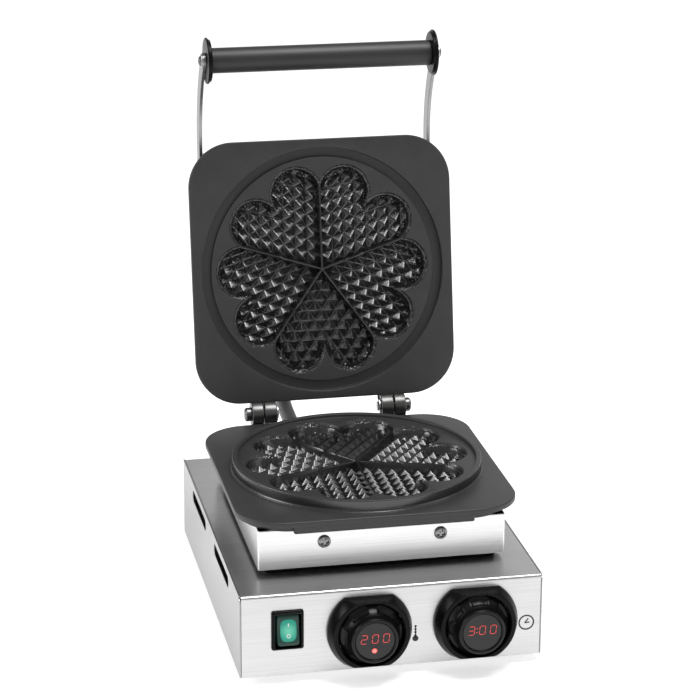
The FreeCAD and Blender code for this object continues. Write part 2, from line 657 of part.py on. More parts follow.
def handle():
    """Grip tube on a steel rod between two guards, held by a screw and a spring washer at each end."""
    grip = cut(rod("X", "-gripHalf", "handleY", "handleZ", "gripRadius", "2*gripHalf"),
               rod("X", "-gripHalf-2", "handleY", "handleZ", "rodRadius+0.2", "2*gripHalf+4"))
    inLid("handle_grip", grip)
    for side, label in ((-1, "handle_guard_left"), (1, "handle_guard_right")):
        near = "gripHalf+0.05" if side > 0 else "-gripHalf-0.05-guardThickness/2"
        far = "gripHalf+0.05+guardThickness/2" if side > 0 else "-gripHalf-0.05-guardThickness"
        layers = [rod("X", near, "handleY", "handleZ", "guardRadius-1.2", "guardThickness/2"),
                  rod("X", far, "handleY", "handleZ", "guardRadius", "guardThickness/2")]
        bore = rod("X", "-130" if side < 0 else 60, "handleY", "handleZ", "rodRadius+0.1", 70)
        inLid(label, cut(fuse(*layers), bore))
    inLid("handle_rod", rod("X", "-coverHalf-0.2-armThickness", "handleY", "handleZ", "rodRadius",
                            "2*(coverHalf+0.2+armThickness)"))
    outside = "coverHalf+0.2+armThickness"
    washers, screws = [], []
    for side in (-1, 1):
        start = outside if side > 0 else "-(%s)-1.5" % outside
        washers.append(cut(rod("X", start, "handleY", "handleZ", 6.2, 1.5),
                           rod("X", start + "-1", "handleY", "handleZ", 3, 4)))
        start = outside + "+1.5" if side > 0 else "-(%s)-5" % outside
        screws.append(rod("X", start, "handleY", "handleZ", 5, 3.5))
    inLid("handle_washers", group(*washers))
    inLid("handle_screws", group(*screws))


# ---- knobs and displays ----

def collars():
    depth, outer, bore = "collarDepth", "collarRadius", "collarBore"
    for label, x in (("temperature_collar", "temperatureX"), ("timer_collar", "timerX")):
        body = turned([(bore, "0"), (outer, "0"), (outer, "-3.4"), (outer + "-4", "-" + depth),
                       (bore + "+0.7", "-" + depth), (bore, "0.7-" + depth)])
        flats = block("-collarRadius-1", -20, "-collarFlat", "2*collarRadius+2", 21, "2*collarFlat")
        inPanel(label, common(body, flats), x, "knobZ")


def knobs():
    """Ring knobs: a ribbed cone and a plain nose in front, a sleeve through the panel behind."""
    bore, outer, nose, depth = "knobBore", "knobRadius", "knobNose", "knobDepth"
    for label, clipLabel, x in (("temperature_knob", "temperature_knob_clip", "temperatureX"),
                                ("timer_knob", "timer_knob_clip", "timerX")):
        profile = [(bore, "-" + depth), (nose + "-1", "-" + depth), (nose, "1-" + depth),
                   (nose + "+0.4", "-18.5"), (outer + "-0.6", "-9.5"), (outer, "-8.7"), (outer, "-0.4"),
                   ("sleeveRadius", "-0.4"), ("sleeveRadius", "2.2"), ("sleeveRadius-0.7", "2.2"),
                   ("sleeveRadius-0.7", "3.2"), ("sleeveRadius", "3.2"), ("sleeveRadius", "4.6"),
                   (bore, "4.6")]
        body = turned(profile)
        inPanel(label, body, x, "knobZ")
        clip = cut(rod("Y", 0, 2.3, 0, 20.4, 0.8), rod("Y", 0, 1, 0, "sleeveRadius-0.7", 4),
                   block(-3, 1, 10, 6, 4, 20))
        inPanel(clipLabel, clip, x, "knobZ")


def displays():
    for name, x in (("temperature", "temperatureX"), ("timer", "timerX")):
        front = "lensThickness-knobDepth"
        tube = cut(rod("Y", 0, front, 0, "displayRadius", "boardY+knobDepth-lensThickness"),
                   rod("Y", 0, front + "-1", 0, "displayRadius-1.4", "boardY+knobDepth-5"))
        inPanel(name + "_display", tube, x, "knobZ")
        inPanel(name + "_lens", rod("Y", 0, "-knobDepth", 0, "displayRadius", "lensThickness"), x, "knobZ")
        encoder = cut(rod("Y", 0, 6, 0, 24, "boardY-6"), rod("Y", 0, 5, 0, 21.6, 30))
        inPanel(name + "_encoder", encoder, x, "knobZ")


def controlBoard():
    board = block(-50, "boardY", 6, 158, "boardThickness", 57)
    holes = [rod("Y", x, "boardY-2", z, 1.6, 6) for x in (-46, 104) for z in (10, 59)]
    chips = [block(10, "boardY+boardThickness", 20, 26, 3, 26),
             block(78, "boardY+boardThickness", 12, 22, 9, 12)]
    inBase("control_board", fuse(cut(board, *holes), *chips))
    posts = [cut(rod("Y", x, "sheetThickness", z, 3, "boardY-sheetThickness"),
                 rod("Y", x, "sheetThickness-1", z, 1.2, "boardY+2")) for x in (-46, 104) for z in (10, 59)]
    inBase("board_standoffs", group(*posts))


# ---- power switch ----

def powerSwitch():
    front, deep = "-bezelDepth", 22
    flange = block("-bezelWidth/2", front, "-bezelHeight/2", "bezelWidth", "bezelDepth", "bezelHeight")
    lip = block("-bezelWidth/2+1.7", "-bezelLip", "-bezelHeight/2+1.7", "bezelWidth-3.4", "bezelLip",
                "bezelHeight-3.4")
    case = block(-12.1, 0, -15.7, 24.2, deep, 31.4)
    cavity = block("-rockerWidth/2-0.5", "-bezelLip-1", "-rockerHeight/2-1", "rockerWidth+1",
                   "bezelLip+14", "rockerHeight+2")
    tabs = [block(x, deep, z, 0.8, 8, 6.3) for x in (-6.4, 5.6) for z in (-12, -3, 6)]
    inPanel("power_switch", cut(fuse(flange, lip, case, *tabs), cavity), "switchX", "switchZ")


def powerRocker():
    """The rocker, round its pivot: two faces meet in a shallow valley, and the upper one is pressed."""
    body = newBody()
    high, valley = "(rockerHeight/2-0.9)", "(-rockerPivot-4.4)"
    peak = valley + "-1.3"
    profile = [(valley, "0"), (peak, "-" + high), ("2", "1.7-" + high), ("7", "-4"), ("7", "4"),
               ("2", high + "-1.7"), (peak, high)]
    pad(body, outline(newSketch(body, "YZ_Plane"), profile), "rockerWidth", midplane=True)
    inPanel("power_rocker", body, "switchX", "switchZ")
    body.Placement = Placement(body.Placement.Base, Rotation(Vector(-1, 0, 0), 1))
    bind(body, Placement_Base_y="frontY+rockerPivot", Placement_Rotation_Angle="rockerTilt")


# ---- inside and back of the base ----

def electrics():
    floor = "sheetThickness"
    relay = fuse(block(-100, 210, floor, 60, 45, 4), block(-92, 216, "sheetThickness+4", 44, 33, 24))
    inBase("power_relay", relay)
    terminals = block(40, 262, floor, 46, 24, 20)
    wells = [rod("Z", x, 274, "sheetThickness+8", 3.2, 20) for x in (49, 63, 77)]
    inBase("terminal_block", cut(terminals, *wells))
    cutout = fuse(block(-20, 262, floor, 34, 14, 26), rod("Z", -3, 269, "sheetThickness+26", 6, 8))
    inBase("overheat_thermostat", cutout)
    core = block(-95, 110, floor, 44, 38, 34)
    coil = block(-89, 102, "sheetThickness+5", 32, 54, 24)
    inBase("power_supply", fuse(core, coil))


def cableGland():
    """A hollow mains gland: flange outside, thread through the back panel, nut inside."""
    body = turned([("glandBore", "-14"), ("7.8", "-14"), ("7.8", "0"), ("11.5", "0"), ("11.5", "4"),
                   ("9.5", "5"), ("8.4", "13"), ("glandBore", "13")])
    body.Label = "cable_gland"
    bind(body, Placement_Base_x="glandX", Placement_Base_y="frontY+housingDepth",
         Placement_Base_z="footHeight+glandZ")
    nodes.append(body)
    nut = cut(rod("Y", "glandX", "housingDepth-sheetThickness-4.2", "glandZ", 12, 4),
              rod("Y", "glandX", "housingDepth-20", "glandZ", 7.9, 30))
    inBase("cable_gland_nut", nut)


# ---- flexible conduit ----

def conduitGlands():
    """Threaded fittings that hold the two ends of the conduit."""
    lower = fuse(rod("Z", "conduitX", "conduitY", "housingHeight", "conduitGland+1.5", 4),
                 rod("Z", "conduitX", "conduitY", "housingHeight+4", "conduitGland", 7),
                 rod("Z", "conduitX", "conduitY", "housingHeight-6", 7.4, 6))
    inBase("lower_conduit_gland", lower)
    upper = fuse(rod("Y", "conduitLidX", "-coverBack", "conduitLidZ", "conduitGland+1.5", 4),
                 rod("Y", "conduitLidX", "4-coverBack", "conduitLidZ", "conduitGland", 7),
                 rod("Y", "conduitLidX", "-coverBack-6", "conduitLidZ", 7.4, 6))
    inLid("upper_conduit_gland", upper)


def roundedPath(points, share=0.45):
    """Straight runs joined by tangent arcs; each arc is as large as its two runs allow."""
    edges, start = [], points[0]
    for before, corner, after in zip(points, points[1:], points[2:]):
        come, leave = corner - before, after - corner
        turn = come.getAngle(leave)
        trim = share * min(come.Length, leave.Length)
        print("conduit arc radius %.1f" % (trim / math.tan(turn / 2)))
        first = corner - come.normalize() * trim
        last = corner + leave.normalize() * trim
        bisector = (first + last) * 0.5 - corner
        sag = trim / math.tan(turn / 2) * (1 / math.cos(turn / 2) - 1)
        middle = corner + bisector.normalize() * sag
        edges.append(Part.LineSegment(start, first).toShape())
        edges.append(Part.Arc(first, middle, last).toShape())
        start = last
    edges.append(Part.LineSegment(start, points[-1]).toShape())
    return Part.Wire(edges)


def flexibleConduit():
    """The grey hose, whole from gland to gland, in the open position."""
    angle = math.radians(dim("openAngle"))
    low = Vector(dim("conduitX"), dim("conduitY"), dim("housingHeight") + 11)
    reach, lift = -(dim("coverBack") - 11), dim("conduitLidZ")
    high = Vector(dim("conduitLidX"), dim("hingeY") + reach * math.cos(angle) + lift * math.sin(angle),
                  dim("hingeZ") - reach * math.sin(angle) + lift * math.cos(angle))
    down = Vector(0, math.cos(angle), -math.sin(angle))
    points = [low, low + Vector(0, 0, 12), high + down * 12, high]
    path = roundedPath(points)
    ring = Part.Wire(Part.makeCircle(dim("conduitRadius"), low, Vector(0, 0, 1)))
    hose = path.makePipeShell([ring], True, False)
    print("conduit length %.1f, volume over section times length %.4f"
          % (path.Length, hose.Volume / (path.Length * math.pi * dim("conduitRadius") ** 2)))
    inBase("flexible_conduit", shapePiece(hose))


for build in (housingShell, sidePanels, bottomPlate, feet, heaterHousing, spacerFrame,
              heaterHousingScrews, lowerPlate, upperPlate, lowerHeating, upperHeating, hingePins,
              upperCover, arms, handle, collars, knobs, displays, controlBoard, powerSwitch,
              powerRocker, electrics, cableGland, conduitGlands, flexibleConduit):
    build()
doc.recompute()

for item in doc.Objects:
    if "Invalid" in item.State or "Error" in item.State:
        raise RuntimeError("%s (%s) failed: %s" % (item.Name, item.Label, item.State))
lows, highs = Vector(1e9, 1e9, 1e9), Vector(-1e9, -1e9, -1e9)
for piece in nodes:
    shape = piece.Shape
    if shape.isNull() or not shape.isValid() or not shape.Solids:
        raise RuntimeError("%s has no valid shape" % piece.Label)
    box = shape.BoundBox
    lows = Vector(min(lows.x, box.XMin), min(lows.y, box.YMin), min(lows.z, box.ZMin))
    highs = Vector(max(highs.x, box.XMax), max(highs.y, box.YMax), max(highs.z, box.ZMax))
for piece in nodes:
    piece.Shape.exportStep("parts/%s.step" % piece.Label)
print("%d nodes, box %s to %s" % (len(nodes), tuple(lows), tuple(highs)))
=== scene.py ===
import json
import math
import bpy
import bmesh
import numpy as np
from mathutils import Matrix, Vector


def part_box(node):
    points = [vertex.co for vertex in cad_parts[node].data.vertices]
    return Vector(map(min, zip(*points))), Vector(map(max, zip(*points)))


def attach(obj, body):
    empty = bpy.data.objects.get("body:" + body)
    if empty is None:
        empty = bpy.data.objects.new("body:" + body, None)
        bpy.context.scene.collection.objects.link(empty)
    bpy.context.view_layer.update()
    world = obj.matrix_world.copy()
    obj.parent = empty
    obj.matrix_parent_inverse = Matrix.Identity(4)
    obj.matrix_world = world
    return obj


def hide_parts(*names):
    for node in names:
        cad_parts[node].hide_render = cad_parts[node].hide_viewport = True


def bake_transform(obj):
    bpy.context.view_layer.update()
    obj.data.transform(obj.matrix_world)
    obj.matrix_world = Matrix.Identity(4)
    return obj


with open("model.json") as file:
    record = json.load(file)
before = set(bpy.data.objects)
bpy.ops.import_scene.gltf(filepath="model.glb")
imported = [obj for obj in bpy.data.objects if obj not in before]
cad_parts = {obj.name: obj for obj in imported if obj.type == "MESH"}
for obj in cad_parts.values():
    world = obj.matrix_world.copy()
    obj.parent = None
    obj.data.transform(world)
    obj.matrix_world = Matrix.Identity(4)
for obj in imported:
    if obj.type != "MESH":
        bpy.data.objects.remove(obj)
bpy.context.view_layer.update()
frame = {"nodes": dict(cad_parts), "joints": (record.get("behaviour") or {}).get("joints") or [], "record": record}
nodes = frame["nodes"]
mm = 0.001

# the view: from the front left, a little above, with a long lens
view = {"azimuth": 11.69, "elevation": 18.57, "roll": 0.3, "lens": 133.75, "sensor": 36.0,
        "place": (-423.82, -2044.58, 922.36)}


def makeCamera():
    turn, tip, roll = (math.radians(view[key]) for key in ("azimuth", "elevation", "roll"))
    ahead = Vector((math.sin(turn) * math.cos(tip), math.cos(turn) * math.cos(tip), -math.sin(tip)))
    level = Vector((math.cos(turn), -math.sin(turn), 0))
    up = level.cross(ahead)
    right = level * math.cos(roll) + up * math.sin(roll)
    up = up * math.cos(roll) - level * math.sin(roll)
    data = bpy.data.cameras.new("camera")
    data.sensor_width = view["sensor"]
    data.lens = view["lens"]
    data.clip_end = 50
    holder = bpy.data.objects.new("camera", data)
    bpy.context.scene.collection.objects.link(holder)
    rotation = Matrix((right, up, -ahead)).transposed().to_4x4()
    holder.matrix_world = Matrix.Translation(Vector(view["place"]) * mm) @ rotation
    bpy.context.scene.camera = holder


makeCamera()
print("camera placed")

# studio: pale floor, pale surround and three soft boxes
studio = {"floor": 0.86, "glow": 0.55, "world": 0.4, "key": 12, "fill": 3, "top": 24, "back": 4}


def softBox(name, place, aim, size, power):
    data = bpy.data.lights.new(name, "AREA")
    data.shape = "RECTANGLE"
    data.size, data.size_y = size
    data.energy = power
    lamp = bpy.data.objects.new(name, data)
    bpy.context.scene.collection.objects.link(lamp)
    lamp.location = place
    lamp.rotation_euler = (Vector(aim) - Vector(place)).to_track_quat("-Z", "Y").to_euler()


def makeStudio():
    world = bpy.data.worlds.new("studio")
    bpy.context.scene.world = world
    world.use_nodes = True
    sky = world.node_tree.nodes["Background"]
    sky.inputs["Color"].default_value = (1, 1, 1, 1)
    sky.inputs["Strength"].default_value = studio["world"]
    floor = bpy.data.meshes.new("floor")
    far = 12.0
    floor.from_pydata([(-far, -far, 0), (far, -far, 0), (far, far, 0), (-far, far, 0)], [], [(0, 1, 2, 3)])
    sheet = bpy.data.objects.new("floor", floor)
    bpy.context.scene.collection.objects.link(sheet)
    paint = Finish("floor paint", Roughness=0.9, Emission_Strength=studio["glow"])
    grain = paint.add("ShaderNodeTexNoise", {}, Scale=3.0, Detail=3.0)
    paint.feed("Base Color", paint.blend(grain, [studio["floor"]] * 3, [studio["floor"] + 0.02] * 3))
    paint.feed("Emission Color", paint.blend(grain, (0.97, 0.97, 0.97), (1, 1, 1)))
    floor.materials.append(paint.material)
    middle = (0, 0, 0.2)
    softBox("key", (-1.7, 0.1, 0.95), middle, (0.9, 0.8), studio["key"])
    softBox("fill", (1.6, -0.8, 0.8), middle, (1.0, 1.4), studio["fill"])
    softBox("top", (0.32, -0.2, 1.9), middle, (0.9, 0.8), studio["top"])
    softBox("back", (1.2, 2.4, 0.9), middle, (2.0, 1.2), studio["back"])
    bpy.context.scene.view_settings.view_transform = "Standard"  # plain whites, no film curve


class Link:
    # a socket that can be added and multiplied like a number
    def __init__(self, finish, socket):
        self.finish, self.socket = finish, socket

    def maths(self, operation, other):
        return self.finish.add("ShaderNodeMath", {"operation": operation}, [self, other])

    def __add__(self, other):
        return self.maths("ADD", other)

    def __mul__(self, other):
        return self.maths("MULTIPLY", other)


class Finish:
    # a material: fixed numbers go on the shader's own sockets, links only where it varies
    def __init__(self, name, **fixed):
        self.material = bpy.data.materials.new(name)
        self.material.use_nodes = True
        self.tree = self.material.node_tree
        self.shader = self.tree.nodes["Principled BSDF"]
        for key, value in fixed.items():
            self.shader.inputs[key.replace("_", " ")].default_value = value
        self.place = None

    def add(self, kind, settings=None, values=None, output=0, **named):
        node = self.tree.nodes.new(kind)
        for key, value in (settings or {}).items():
            if key == "stops":
                self.setStops(node.color_ramp, value)
            else:
                setattr(node, key, value)
        pairs = list(enumerate(values or []))
        pairs += [(key.replace("_", " "), item) for key, item in named.items()]
        for key, value in pairs:
            if isinstance(value, Link):
                self.tree.links.new(value.socket, node.inputs[key])
            elif value is not None:
                node.inputs[key].default_value = value
        return Link(self, node.outputs[output])

    def setStops(self, ramp, stops):
        while len(ramp.elements) < len(stops):
            ramp.elements.new(0.5)
        for element, (place, level) in zip(ramp.elements, stops):
            element.position = place
            element.color = (level, level, level, 1)

    def coords(self, scale=(1, 1, 1)):
        if self.place is None:
            self.place = self.add("ShaderNodeTexCoord", output=3)
        return self.add("ShaderNodeMapping", None, None, Vector=self.place, Scale=scale)

    def noise(self, scale, detail=2.0, roughness=0.5, stretch=(1, 1, 1)):
        return self.add("ShaderNodeTexNoise", {"noise_dimensions": "3D"}, Vector=self.coords(stretch),
                        Scale=scale, Detail=detail, Roughness=roughness)

    def ramp(self, value, *stops):
        return self.add("ShaderNodeValToRGB", {"stops": stops}, [value])

    def blend(self, amount, low, high):
        node = self.tree.nodes.new("ShaderNodeMix")
        node.data_type = "RGBA"
        self.tree.links.new(amount.socket, node.inputs[0])
        for slot, value in ((6, low), (7, high)):
            if isinstance(value, Link):
                self.tree.links.new(value.socket, node.inputs[slot])
            else:
                node.inputs[slot].default_value = (*value, 1)
        return Link(self, node.outputs[2])

    def feed(self, socket, link):
        self.tree.links.new(link.socket, self.shader.inputs[socket])

    def bump(self, height, distance, strength=1.0):
        self.feed("Normal", self.add("ShaderNodeBump", None, Height=height, Distance=distance,
                                     Strength=strength))


makeStudio()
print("studio lit")

steel = {"light": (0.70, 0.70, 0.695), "dark": (0.58, 0.58, 0.585), "rough": 0.30, "line": 900.0}


def brushedSteel(name, along, shade=1.0):
    # long fine scratches: noise drawn out along one axis, over slow cloudy changes; shade scales the colour, so
    # copies of the one steel are painted lighter or darker for how light falls on each sheet
    finish = Finish(name, Metallic=1.0, Specular_IOR_Level=0.5)
    stretch = [1.0, 1.0, 1.0]
    stretch["XYZ".index(along)] = 0.012
    fine = finish.noise(steel["line"], 3.0, 0.6, stretch)
    broad = finish.noise(60.0, 2.0, 0.5, stretch)
    cloud = finish.noise(7.0, 2.0)
    finish.feed("Base Color", finish.blend(finish.ramp(fine * 0.8 + broad * 0.2, (0.3, 0.0), (0.7, 1.0)),
                                           [level * shade for level in steel["dark"]],
                                           [level * shade for level in steel["light"]]))
    finish.feed("Roughness", fine * 0.16 + cloud * 0.08 + (steel["rough"] - 0.1))
    finish.bump(fine, 0.00008, 0.6)
    return finish.material


def castCoating(name, shade, rough, shine=0.5):
    # non-stick coat over a cast face: fine grain, faint mottling, slight sheen
    finish = Finish(name, Specular_IOR_Level=shine)
    grain = finish.noise(2600.0, 2.0, 0.6)
    mottle = finish.noise(45.0, 3.0, 0.6)
    spots = finish.ramp(grain * 0.7 + mottle * 0.3, (0.35, 0.0), (0.75, 1.0))
    finish.feed("Base Color", finish.blend(spots, [shade * 0.75] * 3, [shade * 1.5] * 3))
    finish.feed("Roughness", mottle * 0.12 + grain * 0.1 + (rough - 0.1))
    finish.bump(grain * 0.8 + mottle * 0.5, 0.00006, 0.5)
    return finish.material


def plastic(name, shade, rough, grainSize=1800.0, shine=0.5):
    finish = Finish(name, Specular_IOR_Level=shine)
    grain = finish.noise(grainSize, 2.0, 0.5)
    cloud = finish.noise(30.0, 2.0)
    finish.feed("Base Color", finish.blend(cloud, [level * 0.85 for level in shade],
                                           [level * 1.15 for level in shade]))
    finish.feed("Roughness", grain * 0.08 + cloud * 0.06 + (rough - 0.07))
    finish.bump(grain, 0.00002, 0.3)
    return finish.material


def metal(name, shade, rough, grainSize=500.0):
    finish = Finish(name, Metallic=1.0)
    grain = finish.noise(grainSize, 3.0, 0.6)
    finish.feed("Base Color", finish.blend(grain, [level * 0.85 for level in shade], shade))
    finish.feed("Roughness", grain * 0.14 + (rough - 0.07))
    finish.bump(grain, 0.00002, 0.3)
    return finish.material


finishes = {
    # copies of the one brushed steel, painted lighter or darker by their shade for how light falls: front sheets,
    # side panels and arms painted darker, the pan's housing painted lighter, the cover at the plain colour
    "sheetAcrossPaintedShade": brushedSteel("brushed steel across painted darker", "X", 0.88),
    "riserSheet": brushedSteel("brushed steel pan painted lighter", "X", 1.18),
    "sheetBackPaintedShade": brushedSteel("brushed steel along painted darker", "Y", 0.56),
    "lidSheet": brushedSteel("brushed steel cover", "X"),
    "armSteelPaintedShade": brushedSteel("brushed steel arm painted darker", "Z", 0.5),
    "casting": castCoating("non-stick casting", 0.028, 0.45),
    "hearts": castCoating("non-stick cooking face", 0.004, 0.24, 1.0),
    "machined": metal("machined lug", (0.14, 0.14, 0.138), 0.34),
    "blackSatin": plastic("black satin plastic", (0.002, 0.002, 0.0022), 0.28, 1800.0, 0.12),
    "gripBlack": plastic("black grip tube", (0.016, 0.016, 0.0165), 0.46, 1800.0, 0.5),
    "blackGloss": plastic("black grip", (0.003, 0.003, 0.0033), 0.3, 1800.0, 0.25),
    "rubber": plastic("rubber", (0.02, 0.02, 0.02), 0.8),
    "bright": metal("bright steel", (0.78, 0.78, 0.78), 0.22),
    "darkSteel": metal("dark screw steel", (0.17, 0.17, 0.17), 0.3),
    "panScrew": metal("pan screw", (0.30, 0.30, 0.30), 0.3, 120.0),
    "zinc": metal("zinc", (0.55, 0.55, 0.56), 0.4),
    "element": metal("heater sheath", (0.18, 0.16, 0.15), 0.55),
    "wool": plastic("mineral wool", (0.62, 0.56, 0.42), 0.95, 300.0),
    "board": plastic("circuit board", (0.02, 0.14, 0.05), 0.4),
    "porcelain": plastic("porcelain", (0.75, 0.74, 0.7), 0.25),
    "lensGrey": plastic("display window", (0.028, 0.027, 0.027), 0.3, 1800.0, 0.25),
    "greenLens": plastic("green lens", (0.0, 0.16, 0.075), 0.16),
    "printBlack": plastic("printed black", (0.012, 0.012, 0.012), 0.5),
    "printWhite": plastic("printed white", (0.8, 0.82, 0.8), 0.5),
    "hose": plastic("grey hose", (0.27, 0.27, 0.275), 0.3),
}
slotFinish = {"stainless": "sheetAcrossPaintedShade", "casting": "casting", "black_plastic": "blackSatin",
              "grip": "blackGloss", "rubber": "rubber", "steel": "bright", "zinc": "zinc",
              "element": "element", "wool": "wool", "board": "board", "porcelain": "porcelain",
              "lens": "lensGrey", "green_lens": "greenLens", "conduit": "hose"}
# side panels and arms take the steel painted darker, the pan's housing the steel painted lighter
nodeFinish = {"side_panel_left": "sheetBackPaintedShade", "side_panel_right": "sheetBackPaintedShade", "arm_left": "armSteelPaintedShade",
              "arm_right": "armSteelPaintedShade", "upper_cover": "lidSheet", "heater_housing": "riserSheet",
              "hinge_pin_left": "darkSteel",
              "hinge_pin_right": "darkSteel"}
nodeSlot = {entry["node"]: entry["material_slot"] for entry in frame["record"]["subparts"]}
nodeBody = {node: body for body, members in frame["record"]["behaviour"]["bodies"].items()
            for node in members}


def dressNodes():
    for name, key in nodeSlot.items():
        nodes[name].data.materials.clear()
        nodes[name].data.materials.append(finishes[nodeFinish.get(name, slotFinish[key])])


dressNodes()
print("CAD pieces dressed")


# ways to make a surface; sizes in millimetres until makePiece puts them into a mesh

def softLine(corners, steps=5):
    # corners of (across, along, ease), each eased by start (1-t)^2 + corner 2t(1-t) + end t^2,
    # where start and end lie on the two runs at the ease's distance from the corner
    table = np.array(corners, float)
    spot, ease = table[:, :2], table[:, 2:]
    before, after = np.roll(spot, 1, 0) - spot, np.roll(spot, -1, 0) - spot
    before = before / np.maximum(np.linalg.norm(before, axis=1, keepdims=True), 1e-9)
    after = after / np.maximum(np.linalg.norm(after, axis=1, keepdims=True), 1e-9)
    t = np.linspace(0, 1, steps)[None, :, None]
    first, last = (spot + before * ease)[:, None], (spot + after * ease)[:, None]
    line = first * (1 - t) ** 2 + spot[:, None] * 2 * t * (1 - t) + last * t ** 2
    return line.reshape(-1, 2)


def turned(line, axis="Y", count=96, change=None):
    # a line of (radius, reach) turned about an axis: reach along it, radius times cosine and sine across
    angle = np.linspace(0, 2 * np.pi, count, endpoint=False)[None, :]
    radius, reach = line[:, :1] + 0 * angle, line[:, 1:2] + 0 * angle
    if change:
        radius, reach = change(radius, reach, angle + 0 * radius)
    across, up = radius * np.cos(angle), radius * np.sin(angle)
    order = {"X": (reach, across, up), "Y": (across, reach, up), "Z": (across, up, reach)}[axis]
    return np.stack(order, -1)


def stacked(halfU, halfV, radius, levels, steps=7):
    # levels of (inset, height): the outline drawn in by the inset, a quarter circle at each corner
    inset, height = np.array(levels, float)[:, :1], np.array(levels, float)[:, 1:2]
    angle = (np.arange(4)[:, None] * np.pi / 2 + np.linspace(0, np.pi / 2, steps)[None]).reshape(1, -1)
    sideU = np.repeat([1, -1, -1, 1], steps)[None]
    sideV = np.repeat([1, 1, -1, -1], steps)[None]
    curve = np.maximum(radius - inset, 0.05)
    u = sideU * (halfU - inset - curve) + curve * np.cos(angle)
    v = sideV * (halfV - inset - curve) + curve * np.sin(angle)
    return np.stack((u, v, height + 0 * u), -1)


def capped(points):
    # one more row at each end, gathered at the middle of that end, which closes the form
    middles = points[[0, -1]].mean(axis=1, keepdims=True) + 0 * points[[0, -1]]
    return np.concatenate((middles[:1], points, middles[1:]))


def surface(points, ring=True, loop=False):
    # the grid's neighbours joined by four-sided faces; ring and loop join its last to its first
    rows, columns = points.shape[:2]
    index = np.arange(rows * columns).reshape(rows, columns)
    if loop:
        index = np.vstack((index, index[:1]))
    if ring:
        index = np.hstack((index, index[:, :1]))
    faces = np.stack((index[:-1, :-1], index[:-1, 1:], index[1:, 1:], index[1:, :-1]), -1)
    return points.reshape(-1, 3), faces.reshape(-1, 4)


def prism(outline, bottom, top):
    # a flat outline of (u, v) between two heights, closed at both ends
    flat = np.array(outline, float)[None]
    ends = [np.concatenate((flat, 0 * flat[..., :1] + level), -1) for level in (bottom, top)]
    return capped(np.concatenate(ends))


def makePiece(name, surfaces, finish, body, hides=(), sharp=38):
    start, places, corners = 0, [], []
    for points, faces in surfaces:
        places.append(points)
        corners.append(faces + start)
        start += len(points)
    mesh = bpy.data.meshes.new(name)
    mesh.from_pydata((np.concatenate(places) * mm).tolist(), [], np.concatenate(corners).tolist())
    form = bmesh.new()
    form.from_mesh(mesh)
    bmesh.ops.remove_doubles(form, verts=form.verts, dist=0.000002)
    bmesh.ops.recalc_face_normals(form, faces=form.faces)
    form.to_mesh(mesh)
    form.free()
    mesh.shade_smooth()
    mesh.set_sharp_from_angle(angle=math.radians(sharp))
    mesh.materials.append(finishes[finish])
    piece = bpy.data.objects.new(name, mesh)
    bpy.context.scene.collection.objects.link(piece)
    if body:
        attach(piece, body)
    if hides:
        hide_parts(*hides)
    return piece


def middle(node):
    return (low(node) + high(node)) / 2


def low(node):
    return np.array(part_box(node)[0]) / mm


def high(node):
    return np.array(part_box(node)[1]) / mm


lidHinge = next(joint for joint in frame["joints"] if joint["name"] == "lid_hinge")
hingeAxis = np.array(lidHinge["pos_m"]) / mm
openAngle = math.radians(lidHinge["range_deg"][1])
panelY = low("housing_shell")[1]


def inOpenLid(points):
    # a lid piece made closed, from the hinge axis, swung up about that axis to where the lid stands
    x, y, z = (points[..., index] for index in range(3))
    back, rise = math.cos(openAngle), math.sin(openAngle)
    return np.stack((x, y * back + z * rise, z * back - y * rise), -1) + hingeAxis


def inClosedLid(points):
    # the same swing undone
    x, y, z = (points - hingeAxis).T
    back, rise = math.cos(openAngle), math.sin(openAngle)
    return np.stack((x, y * back - z * rise, z * back + y * rise), -1)


def onPanel(points, x, z):
    # u across, v up and w towards the user become a place on the front panel
    return np.stack((points[..., 0] + x, panelY - points[..., 2], points[..., 1] + z), -1)


# sheets, castings and bars whose edges are broken: the CAD shape with a small round on each edge
softened = {"heater_housing": 0.5, "upper_cover": 0.8,
            "housing_shell": 0.3, "side_panel_left": 0.35, "side_panel_right": 0.35, "arm_left": 0.45,
            "arm_right": 0.45, "hinge_pin_left": 0.5, "hinge_pin_right": 0.5, "spacer_frame": 0.5,
            "feet": 0.8, "lower_conduit_gland": 0.6, "upper_conduit_gland": 0.6, "cable_gland": 0.5}


def softenNode(node, width):
    form = bmesh.new()
    form.from_mesh(nodes[node].data)
    bmesh.ops.remove_doubles(form, verts=form.verts, dist=0.00003)
    bmesh.ops.dissolve_limit(form, angle_limit=math.radians(1), verts=form.verts, edges=form.edges)
    mesh = bpy.data.meshes.new(node + "_soft")
    form.to_mesh(mesh)
    form.free()
    mesh.shade_smooth()
    mesh.set_sharp_from_angle(angle=math.radians(35))
    mesh.materials.append(finishes[nodeFinish.get(node, slotFinish[nodeSlot[node]])])
    piece = bpy.data.objects.new(node + "_soft", mesh)
    bpy.context.scene.collection.objects.link(piece)
    edge = piece.modifiers.new("broken edges", "BEVEL")
    edge.width = width * mm
    edge.segments = 2
    edge.limit_method = "ANGLE"
    edge.angle_limit = math.radians(24)
    edge.use_clamp_overlap = False
    edge.harden_normals = True
    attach(piece, nodeBody[node])
    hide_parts(node)


for node, width in softened.items():
    softenNode(node, width)
print("edges broken")

